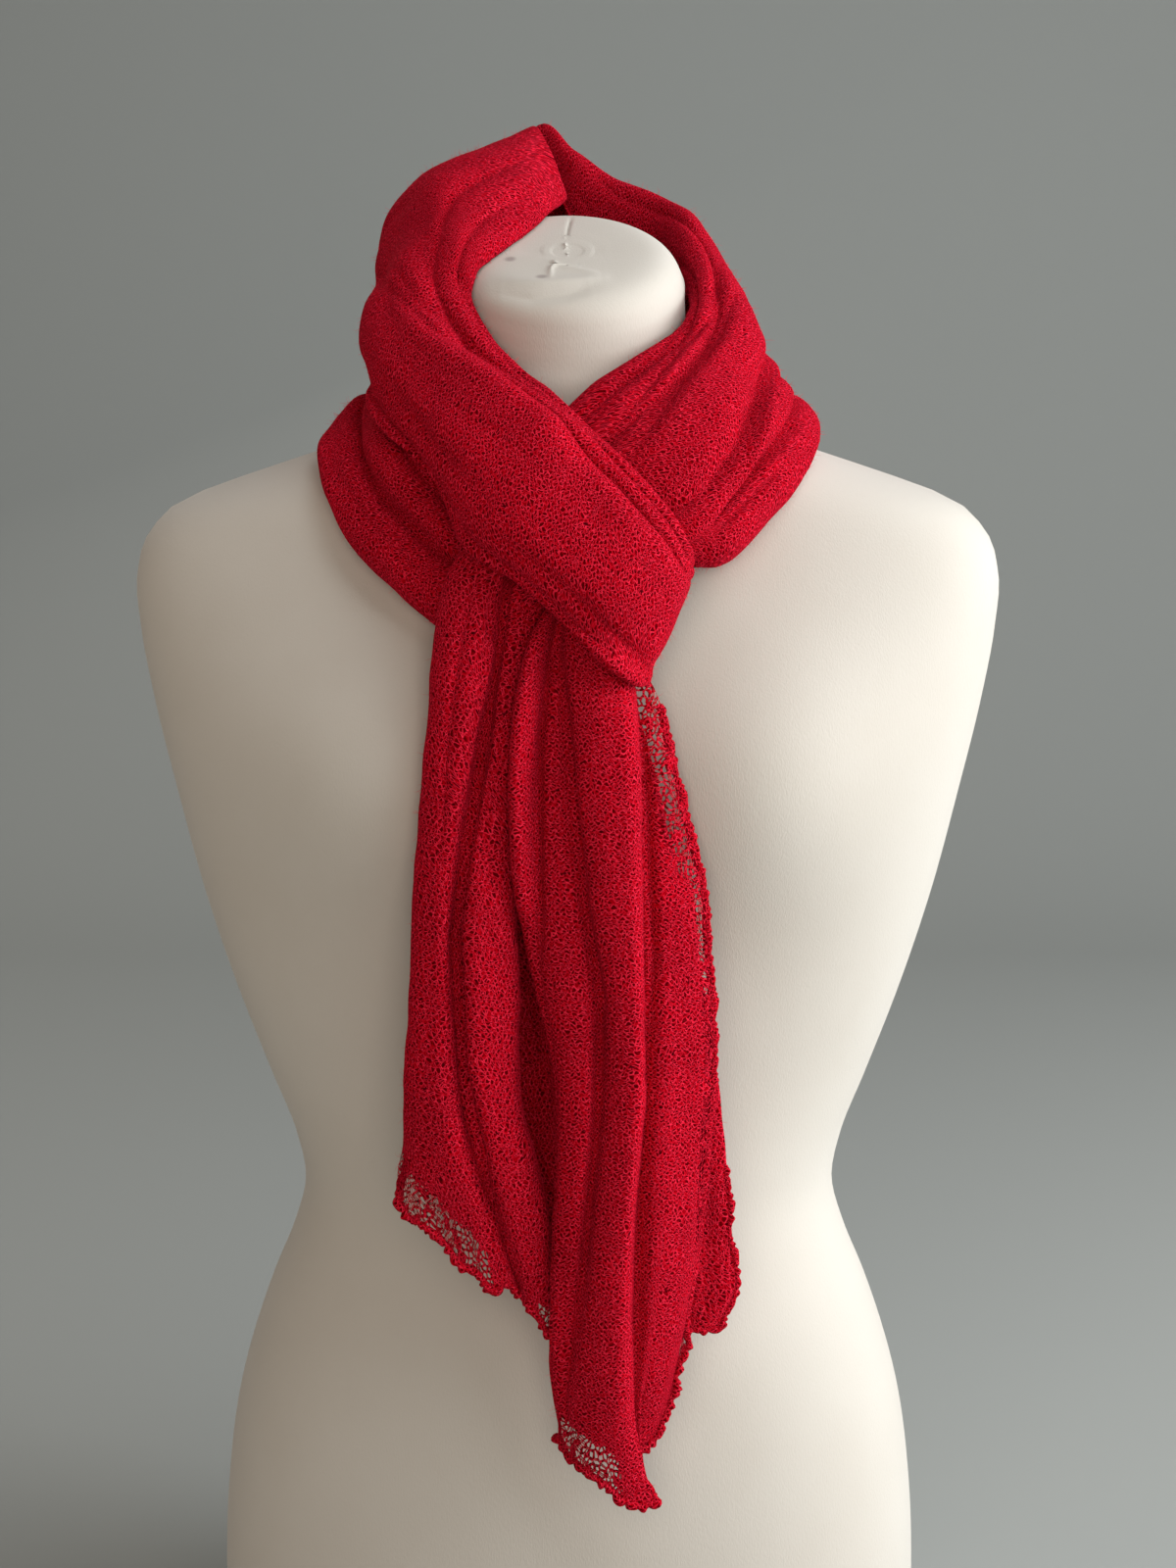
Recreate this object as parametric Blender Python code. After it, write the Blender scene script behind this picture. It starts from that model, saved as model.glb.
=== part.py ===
"""A knitted alpaca shawl looped round the neck of a limbless dress form.

The shawl is doubled, laid round the neck, and its two tails are drawn through the loop at the
front. Each stretch of cloth that shows is a thin folded wall of its own. Units are metres, +Z is
up, -Y is the front, and the origin is the middle of the form's flat underside.
"""

import itertools
import math

import bmesh
import bpy
import numpy as np
from mathutils import Vector, noise
from mathutils.bvhtree import BVHTree

MM = 0.001

# ---------------------------------------------------------------- driving sizes
WALL = 0.0016  # thickness of the doubled-up fine knit
CLEAR = 0.0016  # from the middle of a stretch's wall to the face of what it lies on
LOOKS_PER_CELL = 4  # places along each side of a grid cell that look for what is below
LOOK_FROM = 0.05  # how far outside itself a stretch looks for what it lies on
LIFT_REACH = 0.008  # how deep a corner below may come through before it is missed
LIFT_ROUNDS = 4
PUSH_ROUNDS = 6  # how widely a push spreads
EDGE_POINTS = 4  # points across a stretch's rolled edge
ARCH_SQUARENESS = 2.5  # 2 is an ellipse, higher is flatter on top
CREASE_SHARPNESS = 2.4  # how round the folds between two creases are
MOST_SLOPE = 0.38  # the most that a fold is raised, as a share of its width
STEPS_ACROSS = 16  # about how many steps the width of a stretch is divided into
LEAST_FOLD_STEPS = 3
EASE_ROUNDS = 4  # how evenly the sections turn along a stretch
WOBBLE_SIZE = 0.0022  # unevenness of hand-laid folds
WOBBLE_LENGTH = 0.045
PROFILE_STEPS = 120  # steps of the fine outline that a section is resampled from
TUCK = 0.003  # radius in which the long edges are rolled under
EDGE_CURL = math.radians(70)  # how far they are rolled
CURL_STEPS = 12
START_ROWS = 12  # rows at the start of loop_over that upper_turn is laid over
ENDS_MEET = 0.4  # the share of their lengths in which each of those two lies over the other
HEM_ONSET = 6  # how late the uneven hem starts to pull on the sections above it

FORM_POINTS = 40  # points round the dress form
FORM_RINGS = 24  # sections of it below the neck
NECK_RINGS = 8

# Sections of the dress form: its height, half width, reach to the front and to the back (mm),
# and how square the section is.
FORM_COLUMNS = ("height", "half_width", "front", "back", "squareness")
FORM_SECTIONS = (
    (0, 163, 104, 104, 2.3),
    (52, 164, 106, 108, 2.3),
    (102, 162, 106, 110, 2.3),
    (152, 155, 103, 106, 2.3),
    (201, 140, 97, 95, 2.3),
    (228, 129, 92, 87, 2.3),
    (252, 123, 89, 82, 2.3),
    (276, 127, 89, 82, 2.3),
    (305, 138, 90, 85, 2.3),
    (344, 152, 93, 92, 2.4),
    (390, 166, 95, 98, 2.5),
    (436, 177, 96, 102, 2.6),
    (482, 187, 92, 103, 2.8),
    (512, 192, 85, 101, 2.9),
    (536, 193, 77, 96, 3.0),
    (554, 187, 70, 89, 3.0),
    (567, 173, 66, 83, 2.9),
    (578, 144, 63, 78, 2.7),
    (590, 108, 61, 72, 2.4),
    (602, 78, 60, 66, 2.1),
)
# Sections of the leaning neck: the middle's place, the radii, and the lean in degrees.
NECK_COLUMNS = ("middle_y", "middle_z", "half_width", "half_depth", "lean")
NECK_SECTIONS = (
    (2, 606, 72, 62.5, 1),
    (0, 615, 62, 60, 4),
    (-2, 627, 56, 58, 8),
    (-4, 640, 53, 56, 14),
    (-7, 652, 52, 54.5, 20),
    (-8.8, 662, 51.8, 53.5, 25),
)
# Rings of the neck's cap: share of the last section's radii, and height above it (mm).
NECK_CAP = ((1.0, 3), (0.975, 7.5), (0.90, 11), (0.70, 13.5), (0.40, 15), (0.15, 15.4))
BUST_SIDE = 0.082  # how far each breast lies from the middle
BUST_HEIGHT = 0.455
BUST_RISE = 0.024
BUST_SPREAD = (0.062, 0.060)  # sideways and up

# ---------------------------------------------------------------- stretches of the shawl
# A section runs from the inner edge over the crest of a plain arch to the outer edge (mm). On the
# tails the inner edge is the left one.
SECTION_COLUMNS = ("inner_x", "inner_y", "inner_z", "crest_x", "crest_y", "crest_z",
                   "outer_x", "outer_y", "outer_z")
# A fold lies between its own crease and the next one's. The creases are shares of the width at the
# first and last section, its peak is a share of the fold, and the heights are in millimetres at the
# first, middle and last section.
FOLD_COLUMNS = ("crease_first", "crease_last", "peak",
                "height_first", "height_middle", "height_last")

# From the back over the left shoulder and across the front, to the bend round the tails.
LOOP_OVER = (
    (-2, 46, 702, -16, 86, 728, -13, 93, 692),
    (-12, 10, 691, -35, 76, 715, -36, 90, 672),
    (-25, -14, 680, -60, 59, 704, -62, 72, 655),
    (-34, -26, 673, -76, 38, 692, -76, 48, 640),
    (-42, -35, 666, -72, 4, 673, -77, 11, 629),
    (-44, -42, 654, -75, -29, 652, -77, -35, 615),
    (-36, -52, 640, -61, -65, 633, -68, -69, 597),
    (-21, -69, 624, -42, -99, 607, -50, -93, 580),
    (-7, -86, 613, -20, -119, 586, -40, -108, 558),
    (8, -97, 599, -4, -127, 569, -19, -117, 546),
    (26, -110, 583, 14, -131, 553, -1, -122, 531),
    (41, -112, 567, 28, -129, 538, 14, -122, 514),
    (48, -107, 554, 40, -119, 523, 26, -115, 504),
    (51, -96, 547, 45, -105, 519, 32, -105, 501),
)
LOOP_OVER_FOLDS = (
    (0.00, 0.00, 0.5, 4, 5, 3),
    (0.13, 0.12, 0.5, 4, 5, 3),
    (0.25, 0.24, 0.3, 6, 10, 3),
    (0.60, 0.52, 0.6, 4, 3, 3),
    (0.86, 0.88, 0.5, 3, 5, 5),
)
# From that bend back under the tails, over the left shoulder, round the back and over the right
# shoulder to the front.
LOWER_TURN = (
    (40, -84, 534, 34, -90, 519, 26, -95, 505),
    (6, -80, 553, 2, -90, 528, -2, -96, 506),
    (-34, -80, 572, -40, -92, 543, -42, -95, 521),
    (-50, -76, 590, -56, -91, 559, -58, -88, 529),
    (-59, -67, 601, -71, -84, 575, -73, -82, 541),
    (-63, -50, 610, -80, -67, 589, -89, -72, 556),
    (-64, -28, 616, -84, -43, 600, -100, -54, 578),
    (-65, -12, 620, -83, -23, 607, -103, -33, 592),
    (-64, 6, 623, -82, 4, 614, -91, -8, 603),
    (-58, 38, 630, -77, 46, 616, -85, 44, 595),
    (-38, 60, 640, -52, 77, 622, -60, 75, 585),
    (0, 70, 646, 0, 91, 625, 0, 87, 574),
    (38, 60, 642, 52, 78, 623, 60, 75, 585),
    (56, 36, 632, 78, 46, 618, 86, 45, 596),
    (62, 4, 624, 90, 2, 612, 96, -2, 601),
    (70, -21, 624, 95, -28, 609, 98, -40, 592),
    (71, -44, 618, 84, -57, 600, 87, -64, 571),
    (60, -68, 604, 69, -80, 581, 72, -76, 556),
    (49, -78, 589, 57, -88, 570, 62, -80, 551),
    (38, -80, 582, 46, -90, 566, 51, -82, 551),
)
LOWER_TURN_FOLDS = (
    (0.00, 0.00, 0.5, 3, 5, 3),
    (0.28, 0.30, 0.5, 4, 6, 5),
    (0.54, 0.58, 0.4, 5, 6, 6),
)
# Above it, from the back-left over the right shoulder to the front.
UPPER_TURN = (
    (-44, 99, 683, -49, 106, 664, -48, 103, 638),
    (-28, 107, 697, -32, 118, 681, -30, 112, 634),
    (-12, 103, 710, -13, 117, 703, -12, 114, 632),
    (2, 88, 692, 2, 109, 713, 2, 112, 631),
    (20, 76, 670, 20, 99, 706, 20, 107, 631),
    (36, 62, 664, 42, 84, 696, 42, 95, 631),
    (48, 40, 662, 59, 58, 686, 62, 74, 630),
    (55, 12, 660, 66, 32, 669, 71, 42, 632),
    (57, -14, 652, 74, -4, 655, 77, 0, 630),
    (52, -34, 643, 76, -33, 639, 80, -34, 618),
    (41, -48, 634, 66, -72, 616, 75, -74, 592),
    (28, -61, 626, 54, -90, 601, 62, -89, 572),
    (12, -72, 617, 41, -98, 587, 49, -96, 560),
    (0, -78, 605, 28, -100, 576, 39, -98, 556),
)
UPPER_TURN_FOLDS = (
    (0.00, 0.00, 0.5, 3, 5, 3),
    (0.13, 0.14, 0.5, 3, 6, 3),
    (0.27, 0.30, 0.35, 4, 6, 4),
    (0.74, 0.76, 0.5, 3, 4, 3),
)
TAIL_LEFT = (
    (-34, -101, 555, -22, -105, 547, -10, -102, 539),
    (-43, -103, 540, -30, -110, 532, -16, -106, 525),
    (-48, -111, 510, -35, -118, 503, -19, -113, 496),
    (-52, -119, 470, -38, -126, 464, -23, -119, 458),
    (-56, -122, 428, -41, -129, 424, -24, -121, 420),
    (-59, -123, 385, -42, -130, 380, -21, -121, 375),
    (-61, -122, 335, -41, -129, 330, -18, -120, 325),
    (-66, -121, 300, -39, -128, 287, -13, -120, 275),
    (-77, -121, 276, -38, -127, 246, -5, -121, 212),
)
TAIL_LEFT_FOLDS = (
    (0.00, 0.00, 0.5, 3, 4, 4),
    (0.20, 0.22, 0.4, 7, 9, 6),
    (0.62, 0.56, 0.5, 6, 9, 7),
)
# How far the hem hangs below the last section, at shares of the width (mm).
HEM_COLUMNS = ("share", "drop")
TAIL_LEFT_HEM = ((0, 0), (0.08, 2), (0.35, -4), (0.60, 3), (0.66, -5), (0.85, 0), (1, 0))
# The tails' rear layer, which shows at the right and in the slit.
TAIL_REAR = (
    (-2, -108, 506, 13, -110, 500, 27, -108, 494),
    (-8, -110, 465, 15, -112, 461, 38, -110, 457),
    (-16, -111, 420, 16, -113, 418, 47, -111, 416),
    (-26, -111, 360, 16, -113, 358, 60, -111, 356),
    (-28, -110, 310, 20, -112, 308, 67, -110, 306),
    (-20, -110, 265, 24, -112, 265, 71, -110, 261),
    (0, -110, 240, 36, -112, 236, 73, -110, 238),
    (22, -110, 224, 42, -112, 219, 66, -110, 216),
)
TAIL_REAR_FOLDS = (
    (0.00, 0.00, 0.5, 2, 3, 3),
    (0.50, 0.45, 0.5, 2, 3, 3),
)
TAIL_RIGHT = (
    (-4, -109, 532, 10, -113, 524, 26, -110, 514),
    (-12, -112, 512, 12, -118, 502, 38, -113, 490),
    (-17, -118, 486, 13, -125, 481, 43, -118, 472),
    (-20, -123, 450, 15, -131, 450, 50, -124, 446),
    (-18, -126, 412, 19, -134, 412, 57, -127, 408),
    (-11, -127, 372, 23, -136, 372, 61, -129, 370),
    (-5, -128, 330, 27, -136, 330, 64, -129, 328),
    (-3, -128, 290, 27, -136, 290, 60, -129, 288),
    (-3, -128, 245, 27, -135, 246, 56, -128, 244),
    (-2, -127, 205, 25, -133, 206, 48, -127, 204),
    (-2, -126, 166, 20, -131, 170, 38, -126, 172),
)
TAIL_RIGHT_FOLDS = (
    (0.00, 0.00, 0.5, 6, 5, 3),
    (0.19, 0.12, 0.5, 2, 4, 4),
    (0.33, 0.29, 0.6, 9, 13, 9),
    (0.80, 0.72, 0.4, 2, 4, 3),
)
TAIL_RIGHT_HEM = ((0, 0), (0.2, 6), (0.45, 13), (0.6, 17), (0.8, 23), (0.92, 28), (1, 26))


def rows_by_height(rows, steps):
    """Rows of the form's table read at even steps of height along a smooth curve."""
    table = np.array(rows, float)
    height = table[:, 0]
    slope = np.gradient(table, height, axis=0)
    at = np.linspace(height[0], height[-1], steps)
    first = np.clip(np.searchsorted(height, at, side="right") - 1, 0, len(height) - 2)
    span = (height[first + 1] - height[first])[:, None]
    u = (at - height[first])[:, None] / span
    return (
        (2 * u**3 - 3 * u**2 + 1) * table[first]
        + (u**3 - 2 * u**2 + u) * span * slope[first]
        + (3 * u**2 - 2 * u**3) * table[first + 1]
        + (u**3 - u**2) * span * slope[first + 1]
    )


def cubic_rows(rows, steps):
    """Rows of a table read at even steps along a smooth curve through them."""
    table = np.array(rows, float)
    padded = np.vstack([2 * table[0] - table[1], table, 2 * table[-1] - table[-2]])
    at = np.linspace(0, len(table) - 1, steps)
    first = np.minimum(at.astype(int), len(table) - 2)
    u = (at - first)[:, None]
    a, b, c, d = (padded[first + k] for k in range(4))
    return 0.5 * (
        2 * b + (c - a) * u + (2 * a - 5 * b + 4 * c - d) * u**2 + (3 * b - a - 3 * c + d) * u**3
    )


def unit(vectors):
    """Each row at length one."""
    return vectors / np.maximum(np.linalg.norm(vectors, axis=-1, keepdims=True), 1e-9)


def eased(vectors):
    """Directions that turn more evenly from one row to the next, at length one."""
    vectors = unit(vectors)
    for _ in range(EASE_ROUNDS):
        wide = np.pad(vectors, ((1, 1), (0, 0)), mode="edge")
        vectors = unit(wide[:-2] + 2 * wide[1:-1] + wide[2:])
    return vectors


def power(values, exponent):
    """A power that keeps the sign."""
    return np.sign(values) * np.abs(values) ** exponent


def creases_at(folds, along):
    """Where each fold begins and ends at one section, as shares of the width."""
    table = np.array(folds, float)
    return np.append(table[:, 0] + (table[:, 1] - table[:, 0]) * along, 1.0)


def shares_across(folds, along):
    """Shares of the width at which a section has its points: each crease, and between them."""
    widths = np.diff(creases_at(folds, 0.5))
    edges = creases_at(folds, along)
    shares = [0.0]
    for width, start, end in zip(widths, edges, edges[1:]):
        steps = max(LEAST_FOLD_STEPS, round(width * STEPS_ACROSS))
        shares.extend(np.linspace(start, end, steps + 1)[1:])
    return np.array(shares)


def fold_relief(folds, share, width, along):
    """Height of the folds above the plain arch at each share of a section's width."""
    edges = creases_at(folds, along)
    relief = np.zeros_like(share)
    for row, start, end in zip(folds, edges, edges[1:]):
        peak, height = row[2], np.interp(along, (0, 0.5, 1), row[3:])
        across = np.interp((share - start) / (end - start), (0, peak, 1), (-1, 0, 1))
        inside = np.abs(across) < 1
        round_top = (1 - np.abs(across[inside]) ** CREASE_SHARPNESS) ** 0.75
        relief[inside] = min(height * MM, MOST_SLOPE * (end - start) * width) * round_top
    return relief


def section_outline(half_width, crest):
    """The plain arch of a section with its edges tucked under, as (across, out) points."""
    turn = np.linspace(0, math.pi, PROFILE_STEPS)
    exponent = 2 / ARCH_SQUARENESS
    side, rise = power(np.cos(turn), exponent), power(np.sin(turn), exponent)
    arch = np.stack([-half_width * side + crest[0] * rise, crest[1] * rise], 1)
    curl = np.linspace(EDGE_CURL, 0, CURL_STEPS, endpoint=False)
    ends = [
        np.stack([way * (half_width - TUCK * (1 - np.cos(curl))), -TUCK * np.sin(curl)], 1)
        for way in (-1, 1)
    ]
    return np.vstack([ends[0], arch, ends[1][::-1]])


def resampled(outline, folds, along):
    """The outline with its folds raised, at the shares of its length that the folds ask for."""
    length = np.append(0, np.cumsum(np.linalg.norm(np.diff(outline, axis=0), axis=1)))
    run = unit(np.gradient(outline, axis=0))
    normal = np.stack([-run[:, 1], run[:, 0]], 1)
    share = length / length[-1]
    raised = outline + normal * fold_relief(folds, share, length[-1], along)[:, None]
    at = shares_across(folds, along)
    return np.stack([np.interp(at, share, raised[:, k]) for k in range(2)], 1)


def stretch_points(sections, folds, rows, hem=None):
    """Grid of points of one stretch of cloth, and the outward direction at each section."""
    table = cubic_rows(sections, rows) * MM
    inner, crest, outer = table[:, 0:3], table[:, 3:6], table[:, 6:9]
    middle = (inner + outer) / 2
    across = unit(outer - inner)
    lift = crest - middle
    lean = (lift * across).sum(1)
    out = eased(lift - lean[:, None] * across)
    rise = (lift * out).sum(1)
    half_width = np.linalg.norm(outer - inner, axis=1) / 2
    points = []
    for i in range(rows):
        along = i / (rows - 1)
        outline = section_outline(half_width[i], (lean[i], rise[i]))
        flat = resampled(outline, folds, along)
        row = middle[i] + flat[:, :1] * across[i] + flat[:, 1:] * out[i]
        if hem:
            shares = shares_across(folds, along)
            row[:, 2] -= np.interp(shares, *np.transpose(hem)) * MM * along**HEM_ONSET
        points.append(row)
    return wobbled(np.array(points), out), out


def wobbled(points, out):
    """The grid with a soft unevenness along the outward direction."""
    moved = points.copy()
    for i, j in np.ndindex(points.shape[:2]):
        place = Vector(points[i, j]) / WOBBLE_LENGTH
        moved[i, j] += out[i] * WOBBLE_SIZE * noise.noise(place)
    return moved


def spread_push(push):
    """A push that rises and falls softly round the places that need it.

    A stretch's rolled edge keeps its shape, so its outermost points move together.
    """
    push = push.copy()
    for edge in (push[:, :EDGE_POINTS], push[:, -EDGE_POINTS:]):
        edge[:] = edge.max(axis=1, keepdims=True)
    soft = push.copy()
    for _ in range(PUSH_ROUNDS):
        wide = np.pad(soft, 1, mode="edge")
        mean = (wide[:-2, 1:-1] + wide[2:, 1:-1] + wide[1:-1, :-2] + wide[1:-1, 2:]) / 4
        soft = np.maximum(push, (soft + mean) / 2)
    return soft


def laid_over(points, out, below, rows=(0.0, 1.0)):
    """The grid moved out wherever it would lie in the pieces below it.

    Places all over each cell look inwards from well outside it, so the outermost surface below
    counts.
    """
    trees = [tree_of(piece) for piece in below]
    push = np.zeros(points.shape[:2])
    first, last = (round(share * (len(points) - 1)) for share in rows)
    shares = np.linspace(0, 1, LOOKS_PER_CELL)
    for i, j in np.ndindex(len(points) - 1, points.shape[1] - 1):
        if not first <= i < last:
            continue
        cell = points[i : i + 2, j : j + 2]
        depth = 0.0
        for down, side in itertools.product(shares, shares):
            near = (1 - side) * cell[:, 0] + side * cell[:, 1]
            ways = (1 - down) * out[i] + down * out[i + 1]
            start = Vector((1 - down) * near[0] + down * near[1] + LOOK_FROM * ways)
            for tree in trees:
                hit = tree.ray_cast(start, Vector(-ways), LOOK_FROM + CLEAR)
                if hit[0] is not None:
                    depth = max(depth, LOOK_FROM + CLEAR - hit[3])
        push[i : i + 2, j : j + 2] = np.maximum(push[i : i + 2, j : j + 2], depth)
    points = points + spread_push(push)[:, :, None] * out[:, None, :]
    return lifted_off(points, out, below, (first, last))


def lifted_off(points, out, below, span):
    """The grid moved out until no corner of the pieces below it comes too near or through."""
    corners = [corner for piece in below for corner in corners_of(piece)]
    rows, columns = points.shape[:2]
    quads = [
        (k, k + 1, k + columns + 1, k + columns)
        for k in range((rows - 1) * columns)
        if (k + 1) % columns
    ]
    for _ in range(LIFT_ROUNDS):
        tree = BVHTree.FromPolygons([Vector(p) for p in points.reshape(-1, 3)], quads)
        push = np.zeros((rows, columns))
        for corner in corners:
            place, _, quad, distance = tree.find_nearest(corner, LIFT_REACH)
            if place is None:
                continue
            i, j = divmod(quad, columns - 1)
            height = (corner - place).dot(Vector(out[i]))
            beside = math.sqrt(max(0.0, distance**2 - height**2))
            if span[0] <= i < span[1] and beside < CLEAR and CLEAR + height > 0:
                push[i : i + 2, j : j + 2] = np.maximum(
                    push[i : i + 2, j : j + 2], CLEAR + height
                )
        if not push.any():
            break
        points = points + spread_push(push)[:, :, None] * out[:, None, :]
    return points


def corners_of(piece):
    """The corners of a piece as its modifiers leave it."""
    evaluated = piece.evaluated_get(bpy.context.evaluated_depsgraph_get())
    return [vertex.co.copy() for vertex in evaluated.data.vertices]


def tree_of(piece):
    """A search tree of a piece as its modifiers leave it."""
    return BVHTree.FromObject(piece, bpy.context.evaluated_depsgraph_get())


def finish(name, mesh, material, wall=None):
    """An object of that mesh, shaded smooth, with a wall thickness if it is cloth."""
    piece = bpy.data.objects.new(name, mesh)
    bpy.context.scene.collection.objects.link(piece)
    mesh.materials.append(material)
    mesh.shade_smooth()
    if wall:
        thick = piece.modifiers.new("wall", "SOLIDIFY")
        thick.thickness = wall
        thick.offset = 0
    bpy.context.view_layer.update()
    return piece


def cloth(name, points, material):
    """A thin wall through a grid of points."""
    rows, columns = points.shape[:2]
    mesh = bpy.data.meshes.new(name)
    shape = bmesh.new()
    bmesh.ops.create_grid(shape, x_segments=columns - 1, y_segments=rows - 1, size=1)
    for vertex in shape.verts:
        j = round((vertex.co.x + 1) / 2 * (columns - 1))
        i = round((vertex.co.y + 1) / 2 * (rows - 1))
        vertex.co = points[i, j]
    shape.to_mesh(mesh)
    shape.free()
    return finish(name, mesh, material, WALL)


def even_ring(half_width, front, back, squareness):
    """Points at even steps round a squared ellipse, as (x, y), from its right side to its back."""
    turn = np.linspace(0, 2 * math.pi, 4 * PROFILE_STEPS + 1)
    x = half_width * power(np.cos(turn), 2 / squareness)
    y = power(np.sin(turn), 2 / squareness)
    ring = np.stack([x, y * np.where(y > 0, back, front)], 1)
    length = np.append(0, np.cumsum(np.linalg.norm(np.diff(ring, axis=0), axis=1)))
    at = np.linspace(0, length[-1], FORM_POINTS, endpoint=False)
    return np.stack([np.interp(at, length, ring[:, k]) for k in range(2)], 1)


def form_ring(row):
    """Points round one section of the dress form."""
    height, half_width, front, back = row[:4] * MM
    points = []
    for x, y in even_ring(half_width, front, back, row[4]):
        if y < 0:
            y -= bust(x, height) * min(1, -y / (0.5 * front))
        points.append((x, y, height))
    return points


def bust(x, z):
    """How far the front is filled out at a place."""
    up = (z - BUST_HEIGHT) / BUST_SPREAD[1]
    return sum(
        BUST_RISE * math.exp(-(((x - side) / BUST_SPREAD[0]) ** 2) - up**2)
        for side in (-BUST_SIDE, BUST_SIDE)
    )


def neck_ring(row, scale=1.0, lift=0.0):
    """Points round one section of the leaning neck, or round its cap that far above it."""
    y_middle, z_middle, half_width, half_depth = row[:4] * MM
    lean = math.radians(row[4])
    ring = even_ring(half_width * scale, half_depth * scale, half_depth * scale, 2)
    return [
        (
            x,
            y_middle + y * math.cos(lean) - lift * math.sin(lean),
            z_middle + y * math.sin(lean) + lift * math.cos(lean),
        )
        for x, y in ring
    ]


def dress_form(material):
    """The limbless form: sections bridged from the flat underside to the neck's cap."""
    rings = [form_ring(row) for row in rows_by_height(FORM_SECTIONS, FORM_RINGS)]
    neck = cubic_rows(NECK_SECTIONS, NECK_RINGS)
    rings += [neck_ring(row) for row in neck]
    rings += [neck_ring(neck[-1], scale, lift * MM) for scale, lift in NECK_CAP]
    shape = bmesh.new()
    previous = None
    for ring in rings:
        verts = [shape.verts.new(point) for point in ring]
        edges = [shape.edges.new((a, b)) for a, b in zip(verts, verts[1:] + verts[:1])]
        if previous:
            bmesh.ops.bridge_loops(shape, edges=previous + edges)
        else:
            bmesh.ops.contextual_create(shape, geom=edges)
        previous = edges
    bmesh.ops.contextual_create(shape, geom=previous)
    bmesh.ops.recalc_face_normals(shape, faces=shape.faces)
    mesh = bpy.data.meshes.new("dress_form")
    shape.to_mesh(mesh)
    shape.free()
    piece = finish("dress_form", mesh, material)
    mesh.set_sharp_from_angle(angle=math.radians(50))
    return piece


def finish_material(name, colour, roughness):
    """A plain surface."""
    material = bpy.data.materials.new(name)
    material.use_nodes = True
    shader = material.node_tree.nodes["Principled BSDF"]
    shader.inputs["Base Color"].default_value = (*colour, 1)
    shader.inputs["Roughness"].default_value = roughness
    shader.inputs["Metallic"].default_value = 0
    return material


def build():
    """The dress form, then the shawl's stretches from the innermost to the outermost."""
    for old in list(bpy.data.objects):
        bpy.data.objects.remove(old)
    jersey = finish_material("form_jersey", (0.62, 0.54, 0.45), 0.85)
    knit = finish_material("alpaca_knit", (0.45, 0.006, 0.02), 0.95)
    form = dress_form(jersey)

    points, out = stretch_points(LOWER_TURN, LOWER_TURN_FOLDS, 42)
    lower_turn = cloth("lower_turn", laid_over(points, out, [form]), knit)

    points, out = stretch_points(TAIL_REAR, TAIL_REAR_FOLDS, 11)
    tail_rear = cloth("tail_rear", laid_over(points, out, [form, lower_turn]), knit)

    points, out = stretch_points(TAIL_LEFT, TAIL_LEFT_FOLDS, 20, TAIL_LEFT_HEM)
    points = laid_over(points, out, [form, lower_turn, tail_rear])
    tail_left = cloth("tail_left", points, knit)

    points, out = stretch_points(TAIL_RIGHT, TAIL_RIGHT_FOLDS, 24, TAIL_RIGHT_HEM)
    points = laid_over(points, out, [form, lower_turn, tail_rear, tail_left])
    tail_right = cloth("tail_right", points, knit)

    over, over_out = stretch_points(LOOP_OVER, LOOP_OVER_FOLDS, 32)
    over = laid_over(over, over_out, [form, lower_turn])
    start = cloth("start", over[:START_ROWS], knit)

    points, out = stretch_points(UPPER_TURN, UPPER_TURN_FOLDS, 28)
    points = laid_over(points, out, [form, lower_turn])
    points = laid_over(points, out, [start], rows=(0, ENDS_MEET))
    upper_turn = cloth("upper_turn", points, knit)
    bpy.data.objects.remove(start)

    upper_pieces = [tail_left, tail_right, upper_turn]
    over = laid_over(over, over_out, upper_pieces, rows=(ENDS_MEET, 1))
    cloth("loop_over", over, knit)


build()
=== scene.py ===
"""A red alpaca shawl, knitted fine and laid doubled round the neck of a limbless dress form.

Each stretch of cloth is a thin folded sheet laid over what lies under it, with creases of its own,
and stands for the CAD solid of the same name; the tails also have a picot edge, and two of them
lace. Units are metres, +Z is up, -Y is the front and the origin is the middle of the form's flat
underside.
"""

import logging
import math
from dataclasses import dataclass, field
from enum import Enum

import bmesh
import bpy
import numpy as np
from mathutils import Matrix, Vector, noise
from mathutils.bvhtree import BVHTree


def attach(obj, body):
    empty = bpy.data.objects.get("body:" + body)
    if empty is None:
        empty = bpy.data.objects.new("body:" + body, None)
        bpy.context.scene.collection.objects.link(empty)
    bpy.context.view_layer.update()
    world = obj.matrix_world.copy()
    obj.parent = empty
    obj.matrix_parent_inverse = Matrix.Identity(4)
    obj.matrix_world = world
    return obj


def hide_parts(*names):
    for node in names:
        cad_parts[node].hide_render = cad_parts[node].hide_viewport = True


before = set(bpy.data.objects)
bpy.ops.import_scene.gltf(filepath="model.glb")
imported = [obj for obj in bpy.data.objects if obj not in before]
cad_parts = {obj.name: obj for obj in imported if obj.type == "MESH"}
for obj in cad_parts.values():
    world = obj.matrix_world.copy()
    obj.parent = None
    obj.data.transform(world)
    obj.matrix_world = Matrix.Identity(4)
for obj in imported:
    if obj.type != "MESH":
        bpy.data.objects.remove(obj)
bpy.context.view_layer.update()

LOG = logging.getLogger("shawl")
MM = 0.001
BODY = "root"
SEED = 7

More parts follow.
